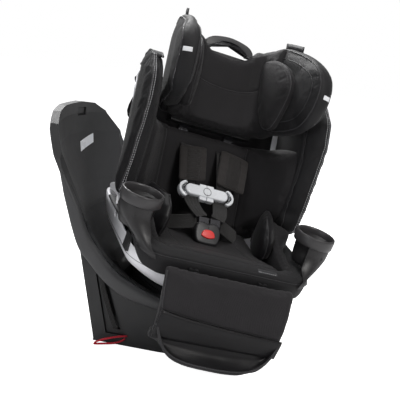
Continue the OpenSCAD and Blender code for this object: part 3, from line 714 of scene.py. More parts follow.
def bolsters():
    """The two torso bolsters beside the backrest."""
    outline = [(28, 76), (28, 200), (26, 340), (-20, 360), (-80, 366), (-128, 363), (-156, 336),
               (-164, 262), (-165, 200), (-161, 130), (-154, 84), (-138, 48), (-114, 34), (-84, 34),
               (-40, 44)]
    loop = smooth_loop(outline, 8)
    for side in (-1, 1):
        where = flipped(side, BACK)
        pad = slab(sided(side, "bolster_cover"), None, 187, 214, 12, AX_X, "bolster_fabric", "seat",
                   where, closed=loop)
        widen(pad, where)
        puff(pad, cap=6, pressure=4)
        front = [p for p in loop if p[0] < -60 and p[1] > 36]
        inner = [(184, p[0] + bolster_inner(p[1]), p[1]) for p in front]
        outer = [(228, p[0] + bolster_outer(p[1]), p[1]) for p in front]
        seam(pad, where, inner, "seat", sided(side, "bolster_inner"), 3.5, 3, pipe=0.9)
        seam(pad, where, outer, "seat", sided(side, "bolster_outer"), 3, 2, pipe=1.5)
        for k, (x, y) in enumerate(((220, 8), (215, 15))):
            path = on_surface(pad, where, [(x, p[1] + y, p[2]) for p in outer], 0.35)
            stitches(f"{sided(side, 'bolster_thread')}_{k}", path, "thread", "seat", 3.6, 1.8, 0.65)
        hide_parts(sided(side, "bolster"))
        top = [p for p in loop if p[1] > 318 and p[0] < 6]
        top.sort(key=lambda p: p[0])
        arch = on_surface(pad, where, [(206, p[0] + 8, p[1] + 4) for p in top[3:-3]], 1.2)
        crown = ribbon(sided(side, "bolster_crown"), [p * 1000 for p in arch], 26, 3, "piping", "seat",
                       WORLD, across=where.to_3x3() @ Vector((1, 0, 0)))
        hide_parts(sided(side, "bolster_cap"))


def widen(obj, where):
    """Slopes a bolster's front from its inner crease forward to the outer edge, and tapers its back."""
    back = (Matrix.Diagonal((MM, MM, MM, 1)) @ where).inverted()
    forth = back.inverted()
    for v in obj.data.vertices:
        p = back @ v.co
        reach = min(max((-p.y - 60) / 60, 0), 1)
        reach = reach * reach * (3 - 2 * reach)
        across = min(max((p.x - 187) / 27, 0), 1)
        limit = np.interp(p.y, (-110, -84, -60, -40, 30), (228, 222, 210, 199, 194))
        p.x = 187 + (p.x - 187) * (limit - 187) / 27
        inner = bolster_inner(p.z)
        p.y += reach * (inner + (bolster_outer(p.z) - inner) * across)
        v.co = forth @ p


def seat_padding():
    """Seat cover, thigh walls and hip pillows."""
    profile = [(70, 113), (71, 132), (68, 146), (40, 142), (-10, 140), (-60, 142), (-118, 154),
               (-158, 164), (-180, 165), (-194, 157), (-198, 142), (-194, 132), (-184, 129),
               (-160, 115), (-60, 113)]
    pad = slab("seat_cover", profile, -146, 146, 20, AX_X, "knit", "seat", SEAT)
    puff(pad, voxel=5.5, cap=5, pressure=3)
    for side in (-1, 1):
        path = [(side * 84, y, 150 + (0.22 * (-y - 60) if y < -60 else 0)) for y in range(60, -176, -10)]
        seam(pad, SEAT, path, "seat", sided(side, "seat_channel"), 4, 3.5, pipe=0.7)
    ridge = smooth_path([(-126, -150, 168), (-60, -120, 162), (0, -110, 160), (60, -120, 162),
                         (126, -150, 168)])
    seam(pad, SEAT, ridge, "seat", "seat_front_seam", 4, 3, pipe=0.8)
    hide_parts("seat_cushion")
    side_profile = [(56, 132), (57, 198), (20, 206), (-20, 209), (-58, 199), (-100, 186), (-140, 176),
                    (-176, 164), (-180, 140), (-130, 124), (-40, 122)]
    for side in (-1, 1):
        where = flipped(side, SEAT)
        wall = slab(sided(side, "thigh_wall"), side_profile, 150, 200, 6, AX_X, "knit", "seat", where)
        narrow(wall, where)
        puff(wall, cap=4, pressure=3)
        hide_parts(sided(side, "seat_side"))
        hip(side)
    seat_apron()


def apron_plan():
    """Line round the seat from its left rear, across the front, to its right rear."""
    half, front, r = 205.5, -204, 62
    side_run = [(-half - 13 * min(max((y + 130) / 90, 0), 1), y)
                for y in (66, 40, 10, -20, -50, -80, -105, -128)]
    path = list(side_run)
    for k in range(13):
        a = math.radians(180 + 90 * k / 12)
        path.append((-half + r + r * math.cos(a), front + r + r * math.sin(a)))
    for k in range(1, 12):
        path.append((-half + r + (2 * half - 2 * r) * k / 12, front))
    return path + [(-x, y) for x, y in path[::-1][11:]]


def seat_apron():
    """Cover fabric draped from the cushion over the shell's rim, front and corners."""
    plan = apron_plan()
    rows = []
    for x, y in plan:
        along_side = min(max((y + 188) / 48, 0), 1)
        inward = Vector((-x, -y * (1 - along_side), 0)).normalized()
        wide = min(max((abs(x) - 150) / 50, 0), 1)
        foot = 117 + 10 * wide + 36 * along_side
        ring = []
        for back, part in ((52, 0.92), (36, 1.02), (16, 1.03), (5, 0.97), (0, 0.85), (-1.5, 0.6),
                           (-1.5, 0.35), (-0.5, 0.15), (1, 0)):
            h = foot + (168 + 3 * wide - foot) * part
            ripple = 1.2 * noise.noise(Vector((x * 0.02, y * 0.02, h * 0.03)))
            ring.append((x + inward.x * (back + ripple), y + inward.y * (back + ripple), h))
        rows.append(ring)
    apron = make("seat_apron", *grid_mesh(rows), "bolster_fabric", "seat", SEAT, "knit")
    modifier(apron, "SOLIDIFY", thickness=3.2 * MM, offset=-1)
    modifier(apron, "SUBSURF", levels=2, render_levels=2)
    hem = [(x, y, 158) for x, y in plan if y < -120]
    seam(apron, SEAT, hem, "seat", "seat_apron_seam", 2.5, 1.2, pipe=0.8)
    patch("seat_tag", apron, SEAT, (88, -196, 171), (0, 0.6, 0.8), 23, 6.5, "tag", "seat")
    row = [(66 + 44 * k / 20, -200, 170) for k in range(21)]
    path = on_surface(apron, SEAT, row, 1.4)
    stitches("seat_tag_thread", path, "thread", "seat", 3.0, 1.8, 0.5)


def narrow(obj, where):
    """Keeps the thigh wall inside the shell and clear of the cup holder."""
    back = (Matrix.Diagonal((MM, MM, MM, 1)) @ where).inverted()
    forth = back.inverted()
    for v in obj.data.vertices:
        p = back @ v.co
        ease = min(max((-20 - p.y) / 50, 0), 1)
        p.x = 150 + (p.x - 150) * (1 - 0.68 * ease)
        v.co = forth @ p


def hip(side):
    """Leaf-shaped hip pillow with a sharp front seam."""
    where = flipped(side, SEAT)
    levels = ((140, 38, -62, 22, 128), (152, 44, -76, 26, 128), (172, 47, -82, 30, 126),
              (196, 44, -80, 34, 123), (218, 34, -66, 36, 120), (236, 16, -38, 30, 120))
    rings = []
    for h, depth, front, rear, tip in levels:
        ring = []
        for k in range(28):
            a = 2 * math.pi * k / 28
            y = (front + rear) / 2 + (rear - front) / 2 * math.cos(a)
            pull = abs(math.sin(a)) ** 0.9 * math.copysign(1, math.sin(a))
            lean = (1 - math.cos(a)) / 2
            x = 147 + (tip - 147) * lean ** 1.5 + depth / 2 * pull
            ring.append(np.array((x, y, h)))
        rings.append(ring)
    pad = make(sided(side, "hip_pillow"), *rings_to_mesh(rings), "satin", "seat", where, "knit")
    puff(pad, voxel=4, cap=5, pressure=5)
    ridge = [(tip, front - 2, h) for h, depth, front, rear, tip in levels]
    seam(pad, where, smooth_path(ridge), "seat", sided(side, "hip_seam"), 2.5, -1.5, pipe=1.0)
    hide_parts(sided(side, "hip_pad"))


# ---------- harness ----------
def ribbon(name, path, width, thick, mat, body, where, across=(1, 0, 0), crown=0.0, ridges=0):
    """Flat woven strap along a path, with raised selvedges."""
    side = Vector(across)
    cols = 16
    rings = []
    count = len(path)
    for i, p in enumerate(path):
        p = Vector(p)
        t = (Vector(path[min(i + 1, count - 1)]) - Vector(path[max(i - 1, 0)])).normalized()
        s = (side - t * side.dot(t)).normalized()
        n = t.cross(s)
        ring = []
        w = width[i] if isinstance(width, list) else width
        for k in range(cols + 1):
            u = k / cols * 2 - 1
            rise = crown * (1 - u * u) + (0.5 if abs(u) > 0.86 else 0) + ridges * math.cos(u * 12)
            ring.append(np.array(p + s * u * w / 2 + n * (thick / 2 + rise)))
        for k in range(cols, -1, -1):
            u = k / cols * 2 - 1
            rise = crown * (1 - u * u) + ridges * math.cos(u * 12)
            ring.append(np.array(p + s * u * w / 2 + n * (-thick / 2 + rise)))
        rings.append(ring)
    return make(name, *rings_to_mesh(rings), mat, body, where)


CLIP_V, CLIP_U = -48, 86


def harness():
    """Shoulder, lap and crotch belts with their pads."""
    for side in (-1, 1):
        x = 47 * side
        path = smooth_path([(x, 22, 200), (x, 8, 200.5), (x, -2, 192), (x, -24, 141), (x, CLIP_V + 1, CLIP_U),
                            (x * 0.92, CLIP_V - 4, CLIP_U - 12)], 6)
        upper = ribbon(sided(side, "shoulder_strap"), path, 38, 1.7, "webbing", "seat", BACK, crown=0.4)
        low = smooth_path([(x * 0.80, CLIP_V - 4, 74), (x * 0.74, -66, 58), (x * 0.62, -84, 43),
                           (x * 0.42, -99, 30)], 6)
        widths = [38 - 6 * i / (len(low) - 1) for i in range(len(low))]
        lower = ribbon(sided(side, "lower_strap"), low, widths, 1.8, "webbing", "seat", BACK, crown=0.8,
                       ridges=0.35 if side < 0 else 0.1)
        if side < 0:
            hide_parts("shoulder_straps")
            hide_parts("lower_straps")
        lap = smooth_path([(side * 100, -42, 3), (side * 80, -64, 6), (side * 58, -84, 10),
                           (side * 30, -99, 18)], 6)
        belt = ribbon(sided(side, "lap_strap"), lap, 34, 1.8, "webbing", "seat", BACK, across=(0, 0.3, 1))
        if side < 0:
            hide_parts("lap_straps")
        shoulder_pad(side)


def shoulder_pad(side):
    """Harness pad with a ribbed middle and two soft side flaps."""
    top = np.array((-36.0, 5, 206)) if side < 0 else np.array((76.0, 5, 210))
    clip = np.array((-38.0, CLIP_V, CLIP_U)) if side < 0 else np.array((56.0, CLIP_V, CLIP_U))
    run = clip - top
    wide = 34 if side < 0 else 38
    rings = []
    for i in range(15):
        t = 0.06 + 0.72 * i / 14
        centre = top + run * t + np.array((0, -9, 0))
        half = wide - 1.5 * i / 14
        bulge = 4.0 + 1.4 * math.sin(math.pi * i / 14) + 0.5 * math.sin(i * 2.1)
        ends = 0.55 if i in (0, 14) else 1.0
        ring = []
        for k in range(36):
            a = 2 * math.pi * k / 36
            c, s = math.cos(a), math.sin(a)
            px = math.copysign(abs(c) ** 0.35, c) * half * (1 if ends == 1 else 0.97)
            py = math.copysign(abs(s) ** 0.6, s) * bulge * ends
            ring.append(centre + np.array((px, py + 0.10 * abs(px), 0.16 * px * -side)))
        rings.append(ring)
    pad = make(sided(side, "harness_pad"), *rings_to_mesh(rings), "pad_fabric", "seat", BACK)
    modifier(pad, "SUBSURF", levels=2, render_levels=2)
    for k, off in enumerate((-19, 19)):
        line = [tuple(top + run * (0.08 + 0.68 * i / 20) + np.array((off, -15, 0.16 * off * -side)))
                for i in range(21)]
        groove(pad, BACK, line, 2.2, 1.4)
        path = on_surface(pad, BACK, line, 0.3)
        stitches(f"{sided(side, 'harness_pad_thread')}_{k}", path, "dark_piping", "seat", 2.6, 1.8, 0.4)
    for i in range(22):
        at = top + run * (0.12 + 0.60 * i / 21)
        rib = [tuple(at + np.array((x, -16, 0.16 * x * -side))) for x in (-17, -8, 0, 8, 17)]
        path = on_surface(pad, BACK, rib, 0.1)
        tube(f"{sided(side, 'harness_pad_rib')}_{i}", path, 0.8, "webbing", "seat", sides=6)
    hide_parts(sided(side, "shoulder_pad"))
    return pad


CUP_BODY = ((232, 207, -117, 42), (215, 207, -117, 41.5), (204, 205, -121, 40), (194, 200, -129, 36.5),
            (184, 194, -140, 31.5), (174, 187, -152, 26), (165, 179, -163, 19.5), (156, 170, -175, 12.5),
            (148, 162, -184, 4))

def clear_of_shell(x, y, h):
    """Moves a point of the arm out of the seat shell's room."""
    above = min(max((h - 162) / 20, 0), 1)
    half, front, r = 210 - 22 * above, -208.5 + 14 * above, 66
    if y > front + r:
        return max(x, half), y
    if x < half - r:
        return x, min(y, front)
    reach = math.hypot(x - half + r, y - front - r)
    if reach < r:
        k = r / max(reach, 1e-6)
        return half - r + (x - half + r) * k, front + r + (y - front - r) * k
    return x, y


def capsule_loop(half, r, x0=0, z0=0, n=10):
    """Outline of a bar with round ends."""
    out = []
    for k in range(n + 1):
        a = -math.pi / 2 + math.pi * k / n
        out.append(np.array((x0 + half - r + r * math.cos(a), z0 + r * math.sin(a))))
    for k in range(n + 1):
        a = math.pi / 2 + math.pi * k / n
        out.append(np.array((x0 - half + r + r * math.cos(a), z0 + r * math.sin(a))))
    return out


def box_loop(x0, z0, x1, z1, r, n=4):
    """Outline of a rectangle with rounded corners."""
    out = []
    for cx, cz, start in ((x1 - r, z0 + r, -90), (x1 - r, z1 - r, 0), (x0 + r, z1 - r, 90),
                          (x0 + r, z0 + r, 180)):
        for k in range(n + 1):
            a = math.radians(start + 90 * k / n)
            out.append(np.array((cx + r * math.cos(a), cz + r * math.sin(a))))
    return out


CLIP = BACK @ Matrix.Translation((0, CLIP_V, CLIP_U)) @ Matrix.Rotation(math.radians(-22.1), 4, "X")


def chest_clip():
    """The clip that joins the two shoulder belts."""
    face = slab("clip_face", None, -10.5, 6, 3.2, AX_Y, "clip_plastic", "chest_clip", CLIP,
                closed=capsule_loop(54, 13.5, 0, 3))
    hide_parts("clip_left_half", "clip_right_half")
    for side in (-1, 1):
        crescent = []
        for k in range(13):
            a = math.radians(-78 + 156 * k / 12)
            crescent.append(np.array((side * (50 + 20 * math.cos(a)), 2 + 21 * math.sin(a))))
        for k in range(13):
            a = math.radians(70 - 140 * k / 12)
            crescent.append(np.array((side * (43 + 17 * math.cos(a)), 2 + 17 * math.sin(a))))
        slab(sided(side, "clip_end"), None, -8.5, 6.5, 2, AX_Y, "clip_plastic", "chest_clip", CLIP,
             closed=crescent)
        for z0, z1, word in ((15.5, 22, "top"), (-19, -9, "bottom")):
            slab(f"{sided(side, 'clip_tongue')}_{word}", None, -8, 5, 1.6, AX_Y, "clip_plastic",
                 "chest_clip", CLIP, closed=box_loop(0.6 if side > 0 else -18, z0,
                                                      18 if side > 0 else -0.6, z1, 2))
    disc = capsule_loop(8.6, 8.599, 0, 3, 16)
    button = slab("clip_press", None, -11.7, -6, 1.2, AX_Y, "clip_plastic", "clip_button", CLIP, closed=disc)
    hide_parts("clip_button")
    turns = [2 * math.pi * k / 40 for k in range(40)]
    ring = [tuple(CLIP @ Vector((9.6 * math.cos(a), -10.7, 3 + 9.6 * math.sin(a))) * MM) for a in turns]
    tube("clip_button_groove", ring, 0.55, "band_plastic", "chest_clip", closed=True, slot="band_plastic")


BUCKLE = SEAT @ Matrix.Translation((-5, -43, 151)) @ Matrix.Rotation(math.radians(-38), 4, "X")


def buckle():
    """Crotch buckle with its push button."""
    outline = [(-22, -9), (0, -11), (22, -9), (30, 4), (31, 22), (26, 36), (14, 41), (0, 38), (-14, 41),
               (-26, 36), (-31, 22), (-30, 4)]
    body = slab("buckle_shell", outline, -11, 10, 5, AX_Y, "dark_plastic", "seat", BUCKLE,
                slot="base_plastic")
    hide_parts("buckle_body")
    half_moon = [(-15, 6), (0, 2.5), (15, 6), (15.5, 13), (11, 20), (0, 23), (-11, 20), (-15.5, 13)]
    button = slab("buckle_press", half_moon, -14, -8, 2, AX_Y, "red_plastic", "buckle_button", BUCKLE)
    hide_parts("buckle_button")
    metres = [tuple(BUCKLE @ Vector(p) * MM) for p in ((0, -11.2, 25), (0, -10.6, 31), (0, -9.2, 37))]
    tube("buckle_split", metres, 0.8, "base_plastic", "seat")
    sleeve = ribbon("crotch_webbing", smooth_path([(0, -43, 119), (0, -43, 132), (0, -42, 143)], 4), 32, 2.2,
                    "webbing", "seat", SEAT)
    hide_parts("crotch_strap")


# ---------- cup holders ----------
def cup_holders():
    """A cup holder on each side of the seat."""
    for side in (-1, 1):
        cup_body(side)
        cup_rim(side)


def cup_body(side):
    """Cup bowl whose arm sweeps down and forward to the seat's front corner."""
    rings = []
    for h, cx, cy, r in CUP_BODY[::-1]:
        ring = []
        for k in range(48):
            a = 2 * math.pi * k / 48
            x, y = clear_of_shell(cx + r * math.cos(a), cy + r * math.sin(a), h)
            ring.append(np.array((x, y, h)))
        rings.append(ring)
    for h, r in ((236, 40.5), (240, 38.6), (205, 35.5), (186, 33), (180, 30), (178.5, 10)):
        rings.append([np.array((207 + r * math.cos(2 * math.pi * k / 48),
                                -117 + r * math.sin(2 * math.pi * k / 48), h)) for k in range(48)])
    cup = make(sided(side, "cup"), *rings_to_mesh(rings), "cup_plastic", sided(side, "cup"),
               flipped(side, SEAT), "band_plastic")
    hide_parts(sided(side, "cup_holder"))
    mark = [(-4, 0), (4, 0), (2.4, -7), (-2.4, -7), (-4, 0)]
    path = [(222 + x * 0.6, -157 - x * 0.3, 214 + z) for x, z in mark]
    spots = on_surface(cup, flipped(side, SEAT), path, 0.3)
    tube(sided(side, "cup_mark"), spots, 0.6, "band_plastic", sided(side, "cup"))


def cup_rim(side):
    """Broad collar round the cup opening."""
    where = flipped(side, SEAT) @ Matrix.Translation((207, -117, 0))
    profile = ((41.6, 230.5), (43.6, 229.6), (44.6, 231), (45.2, 240), (45.4, 249), (44.6, 253), (43, 254.4),
               (41, 253.6), (39.8, 250), (39.2, 240), (39.4, 232), (40.4, 230.6))
    rings = []
    for r, h in profile + profile[:1]:
        rings.append([np.array((r * math.cos(2 * math.pi * k / 64), r * math.sin(2 * math.pi * k / 64), h))
                      for k in range(64)])
    verts, faces = rings_to_mesh(rings, cap=False)
    make(sided(side, "cup_collar"), verts, faces, "collar_plastic", sided(side, "cup"), where,
         "band_plastic")


def leg_half(h):
    """Half-width of the leg rest cover at a height."""
    return np.interp(h, (20, 60, 120, 150), (139, 142, 149, 151))


# ---------- leg rest ----------
def tuck(obj):
    """Gives a leg rest piece its own copy of its mesh."""
    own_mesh(obj)
    return obj


def leg_rest():
    """Leg rest cushion, shaped from its side profile, with its hem."""
    profile = [(-221, 150), (-218, 144), (-225, 112), (-232, 70), (-236, 40), (-236, 23), (-250, 21),
               (-260, 24), (-266, 44), (-262, 70), (-253, 98), (-242, 124), (-232, 146)]
    verts, faces = slab_mesh(smooth_loop(profile, 6), -139, 139, 8, AX_X)
    shaped = [(x * leg_half(z) / 139, y, z) for x, y, z in verts]
    panel = make("leg_rest_cover", shaped, faces, "mesh", "leg_rest", SEAT, "knit")
    puff(panel, cap=4, pressure=3, smooth=2)
    hem = smooth_path([(-143, -262, 72), (-80, -268, 64), (0, -270, 58), (80, -268, 54), (140, -262, 53)])
    groove(panel, SEAT, hem, 3, 2)
    path = on_surface(panel, SEAT, hem, 0.5)
    tuck(tube("leg_rest_pocket_hem", path, 1.4, "satin", "leg_rest", slot="knit"))
    for side in (-1, 1):
        edge = []
        for h in range(24, 146, 6):
            y = np.interp(h, (20, 44, 70, 98, 146), (-263, -268, -264, -254, -234))
            edge.append((side * (leg_half(h) - 4), y, h))
        path = on_surface(panel, SEAT, edge, 0.3)
        tuck(tube(sided(side, "leg_rest_edge"), path, 1.3, "dark_piping", "leg_rest", slot="piping"))
    tuck(panel)
    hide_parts("leg_rest_pad")
    leg_rest_pocket()
    flap_and_lip()
    tuck_board()


def leg_rest_pocket():
    """Smooth lower pocket laid over the foot of the leg rest."""
    rows = []
    for i in range(33):
        t = i / 32
        x = -141 + 282 * t
        top = np.interp(x, (-141, -80, 0, 80, 141), (71, 63, 57, 53, 52))
        row = []
        for j in range(9):
            h = top + (8 - top) * j / 8
            y = np.interp(h, (8, 24, 44, 60, 74), (-266, -268.5, -272, -270.5, -269))
            row.append((x, y - 1.2 * math.sin(math.pi * t), h))
        rows.append(row)
    pocket = make("leg_rest_pocket", *grid_mesh(rows), "satin", "leg_rest", SEAT, "knit")
    modifier(pocket, "SOLIDIFY", thickness=2 * MM, offset=0)
    tuck(pocket)


def lip_height(x):
    """Height of the lip's rim, which climbs steeply at both ends."""
    return -26 + 68 * min(abs(x) / 141, 1) ** 6


def flap_and_lip():
    """Lower flap that curls forward into a lip with a double piped rim."""
    rings = []
    cols = 33
    for i in range(cols):
        x = -141 + 282 * i / (cols - 1)
        bow = max(math.cos(x / 141 * math.pi / 2), 0)
        lip = -268 - 36 * bow ** 0.8
        rim = lip_height(x)
        ring = [(-236, 19), (-262 + 2 * bow, 19), (-264 - 4 * bow, 10),
                (-262 - 8 * bow, max(2 - 6 * bow, rim)), (-266 - 14 * bow, max(-1 - 12 * bow, rim - 2)),
                (lip + 8, rim + 6), (lip + 1.5, rim + 6.5),
                (lip - 0.5, rim + 1), (lip + 3, rim - 2.0), (lip + 14, rim - 2.2),
                (-250, min(-6 - 16 * bow, rim - 2.4)), (-237, -4 - 12 * bow), (-236, 4)]
        rings.append([np.array((x, p[0], p[1])) for p in ring])
    flap = make("leg_rest_lip", *rings_to_mesh(rings), "satin", "leg_rest", SEAT, "knit")
    modifier(flap, "SUBSURF", levels=2, render_levels=2)
    for v in flap.data.vertices:
        v.co += Vector((noise.noise(v.co * 22), noise.noise(v.co * 22 + Vector((9, 0, 0))),
                        noise.noise(v.co * 22 + Vector((0, 9, 0))))) * 0.0010
    for k, (dy, dz) in enumerate(((-1.5, 6.0), (-1.5, -0.5))):
        edge = []
        for i in range(41):
            x = -141 + 282 * i / 40
            bow = max(math.cos(x / 141 * math.pi / 2), 0)
            edge.append((x, -268 - 36 * bow ** 0.8 + dy, lip_height(x) + dz))
        path = on_surface(flap, SEAT, edge, 0.6)
        tuck(tube(f"leg_rest_rim_{k}", path, 1.9, "dark_piping", "leg_rest", slot="piping"))
    tuck(flap)
    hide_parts("leg_rest_flap")


def tuck_board():
    """Thin bent board behind the leg rest."""
    board = slab("leg_rest_stiffener", None, -118, 118, 1.5, AX_X, "base_plastic", "leg_rest", SEAT,
                 closed=[np.array(p) for p in ((-215, 139), (-218, 139), (-229, 92), (-233, 60), (-233, -8),
                                               (-230, -8), (-230, 60), (-226, 92))])
    tuck(board)
    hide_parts("leg_rest_board")


# ---------- shells ----------
def rounded_ring(half, front, rear, r, z, per=8):
    """Ring of points round a rectangle with rounded corners, at height z."""
    out = []
    for cx, cy, start in ((half - r, rear - r, 0), (-half + r, rear - r, 90), (-half + r, front + r, 180),
                          (half - r, front + r, 270)):
        for k in range(per + 1):
            a = math.radians(start + 90 * k / per)
            out.append(np.array((cx + r * math.cos(a), cy + r * math.sin(a), z)))
    return out


def lower_shell():
    """Pale bucket under the cushion, with a rolled rim and a step line round its side."""
    outer = [(60, 120, -137, 116, 60), (66, 138, -150, 124, 66), (80, 164, -162, 132, 70),
             (97, 190, -178, 140, 74), (99, 192, -179, 141, 74), (110, 200, -184, 144, 72),
             (122, 206, -188, 147, 70), (148, 214, -196, 151, 64), (164.5, 217, -199, 152, 60)]
    inner = [(165.6, 213, -196, 149, 58), (164, 209, -193, 146, 55), (140, 202, -186, 141, 58),
             (103, 182, -172, 134, 68), (80, 158, -156, 124, 62), (68, 118, -137, 112, 56)]
    rings = []
    for h, w, f, b, r in outer + inner:
        ring = []
        for p in rounded_ring(w, f, b, r, h):
            ease = min(max((-40 - p[1]) / 70, 0), 1)
            ease = ease * ease * (3 - 2 * ease)
            ring.append(np.array((p[0] * (1 - ease * max(0, 1 - 201 / max(w, 201))), p[1],
                                  min(p[2], 165.6 - 22 * ease))))
        rings.append(ring)
    shell = make("lower_shell", *rings_to_mesh(rings), "shell_plastic", "seat", SEAT)
    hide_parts("seat_shell")
    ring = rounded_ring(204, -186, 146, 70, 116, 10)
    line = on_surface(shell, SEAT, ring, 0.2)
    tube("lower_shell_seam", line, 0.8, "seam_grey", "seat", closed=True, slot="shell_plastic")


def rear_shell():
    """Backrest moulding: a curved back with sides that taper inward from a thin front edge."""
    edge_u = (-13, 8, 30, 66, 120, 213, 300, 335, 350)
    edge_v = (-82, -75, -70, -57, -43, -45, -25, 0, 20)
    rows = []
    for i in range(29):
        u = 64 + 286 * i / 28
        edge = np.interp(u, edge_u, edge_v)
        half = np.interp(u, (60, 300, 335, 350), (213, 213, 209, 196))
        row = []
        for t in (0, 0.03, 0.12, 0.3, 0.55, 0.8, 1):
            v = edge + (36 - edge) * t
            row.append((half - 32 * t ** 1.4, v))
        row += [(half - 46, 41), (100, 42), (50, 42), (0, 42)]
        left = [np.array((-x, v, u)) for x, v in row]
        right = [np.array((x, v, u)) for x, v in row[:-1]][::-1]
        rows.append(left + right)
    shell = make("rear_shell", *grid_mesh(rows), "shell_plastic", "seat", BACK)
    modifier(shell, "SOLIDIFY", thickness=4 * MM, offset=-1)
    modifier(shell, "SUBSURF", levels=1, render_levels=1)
    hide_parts("back_shell")
    for side in (-1, 1):
        rim = smooth_path([(side * 213, v, u) for u, v in zip(edge_u[:-2], edge_v[:-2])], 5)
        tube(sided(side, "rear_shell_edge"), local_to_world(BACK, rim), 2.2, "shell_plastic", "seat")
        slab(sided(side, "rear_shell_foot"), [(-78, -4), (-58, 64), (-20, 70), (34, 72), (30, 60), (-20, 44),
                                              (-60, 18)], 201, 205, 1.6, AX_X, "shell_plastic", "seat",
             flipped(side, BACK))


# ---------- base ----------
RIDGE = [(-140, 80), (-60, 99), (0, 115), (43, 126), (91, 144), (132, 167), (166, 202), (194, 237),
         (218, 291), (240, 333), (258, 368), (268, 392)]


def base_bands():
    """Charcoal arms that sweep from the front of the base up to the rear panel."""
    low = [(-140, 46), (-60, 76), (0, 88), (40, 96), (100, 108), (150, 136), (191, 176), (220, 212),
           (252, 304), (259, 330), (264, 350), (270, 380)]
    top = smooth_path(RIDGE, 5)
    bottom = smooth_path(low, 5)
    for side in (-1, 1):
        rings = []
        for (ty, tz), (by, bz) in zip(top, bottom):
            half = 184.2
            if ty < 30:
                half = math.sqrt(max(184.2 ** 2 - (ty - 30) ** 2, 1))
            out = half + 13
            ring = [(half - 2, ty + 1, tz - 1), (half + 2, ty, tz + 1), (half + 7, ty, tz),
                    (out - 2, ty, tz - 4), (out, ty, tz - 9),
                    (out - 0.5, (ty + by) / 2, (tz + bz) / 2), (out - 3, by, bz + 4), (half + 5, by, bz),
                    (half - 1, by, bz + 1)]
            rings.append([np.array((side * x, y, z)) for x, y, z in ring])
        band = make(sided(side, "arm_band"), *rings_to_mesh(rings), "band_plastic", "base")
        modifier(band, "SUBSURF", levels=2, render_levels=2)
        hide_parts(sided(side, "side_band"))


def keep_base_nodes():
    """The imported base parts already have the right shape; some get their own tone."""
    nodes["rear_panel"].data.materials[0] = MATS["bowl_plastic"]
    for name in ("headrest_rails", "buckle_tongues", "hub_retainer"):
        nodes[name].data.materials[0] = MATS["dark_steel"]


def pull_loop():
    """Red release ribbon, looped and lying by the left foot of the base."""
    path = smooth_path([(-185.5, 92, 24), (-192, 108, 22.5), (-202, 130, 18), (-210, 148, 12), (-212, 156, 7),
                        (-209, 155, 3.5), (-202, 138, 4), (-195, 118, 6), (-189, 104, 11),
                        (-185.5, 96, 17)], 6)
    loop = ribbon("release_ribbon", path, 4.5, 1.6, "red_webbing", "base", WORLD, across=(1, 0, 0.25))
    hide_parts("anchor_strap")


def white_surroundings():
    """Pure white behind everything, a dimmer white as light."""
    world = bpy.data.worlds.new("studio")
    bpy.context.scene.world = world
    world.use_nodes = True
    n = world.node_tree.nodes
    n["Background"].inputs["Color"].default_value = (1, 1, 1, 1)
    seen_directly_glow(n, world.node_tree.links, n["Background"].inputs["Strength"], WORLD_LIGHT, 1.0)


def seen_directly_glow(n, link, socket, as_light, as_backdrop):
    """A strength that differs between lighting the object and standing behind it."""
    path = n.new("ShaderNodeLightPath")
    mix = n.new("ShaderNodeMapRange")
    mix.inputs["To Min"].default_value = as_light
    mix.inputs["To Max"].default_value = as_backdrop
    link.new(path.outputs["Is Camera Ray"], mix.inputs["Value"])
    link.new(mix.outputs[0], socket)


def belt_strap():
    """Folded anchor webbing stowed in the side slit."""
    path = smooth_path([(-185.6, 160, 146), (-186.6, 152, 118), (-185.2, 140, 84), (-186.8, 128, 56),
                        (-185.5, 119, 36)], 8)
    ribbon("stowed_webbing", path, 11, 2, "webbing", "base", WORLD, across=(0, 1, 0.2), ridges=0.5)


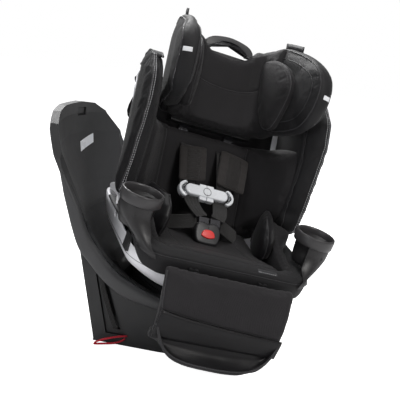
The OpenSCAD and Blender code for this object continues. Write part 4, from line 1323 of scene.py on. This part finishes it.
# ---------- studio ----------
WORLD_LIGHT = 0.20
FLOOR_GLOW = 0.95
LAMPS = (("key", (-1.5, -2.0, 2.3), 40, 0.8, (1, 0.98, 0.96)),
         ("side", (-2.4, 1.2, 1.2), 12, 1.2, (0.96, 0.98, 1)),
         ("rim", (1.5, 0.9, 2.2), 60, 0.9, (1, 1, 1)),
         ("top", (0.2, 0.1, 2.8), 24, 1.2, (1, 1, 1)))


def studio():
    """White floor, world and lamps."""
    white_surroundings()
    floor_mesh = bpy.data.meshes.new("floor")
    size = 6
    floor_mesh.from_pydata([(-size, -size, 0), (size, -size, 0), (size, size, 0), (-size, size, 0)], [],
                           [(0, 1, 2, 3)])
    floor = bpy.data.objects.new("floor", floor_mesh)
    bpy.context.scene.collection.objects.link(floor)
    m, n, link, bsdf = new_material("floor_white")
    mottled_colour(n, link, bsdf, (0.9, 0.9, 0.91), 0.01, 1.5)
    bsdf.inputs["Roughness"].default_value = 0.5
    bsdf.inputs["Emission Color"].default_value = (1, 1, 1, 1)
    seen_directly_glow(n, link, bsdf.inputs["Emission Strength"], 0.0, FLOOR_GLOW)
    floor_mesh.materials.append(m)
    for name, at, power, size, colour in LAMPS:
        light = bpy.data.lights.new(name, "AREA")
        light.energy = power
        light.size = size
        light.color = colour
        lamp = bpy.data.objects.new(name, light)
        lamp.location = at
        lamp.rotation_euler = (Vector((0, 0, 0.35)) - Vector(at)).to_track_quat("-Z", "Y").to_euler()
        bpy.context.scene.collection.objects.link(lamp)


def camera():
    """Three-quarter view from the seat's front, with a slight roll."""
    data = bpy.data.cameras.new("camera")
    data.lens = 79.2
    data.sensor_width = 36
    cam = bpy.data.objects.new("camera", data)
    place = Vector((-1.890, -0.433, 0.750))
    forward = Vector((0.949, 0.219, -0.225)).normalized()
    turn = forward.to_track_quat("-Z", "Y").to_matrix().to_4x4()
    roll = Matrix.Rotation(math.radians(5.5), 4, "Z")
    cam.matrix_world = Matrix.Translation(place) @ turn @ roll
    bpy.context.scene.collection.objects.link(cam)
    bpy.context.scene.camera = cam


studio()
camera()
headrest()
headrest_grip_piece = headrest_grip()
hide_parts("headrest_handle")
back_padding()
bolsters()
seat_padding()
harness()
chest_clip()
buckle()
cup_holders()
leg_rest()
lower_shell()
rear_shell()
base_bands()
keep_base_nodes()
pull_loop()
belt_strap()

bpy.context.scene.view_settings.view_transform = "Standard"
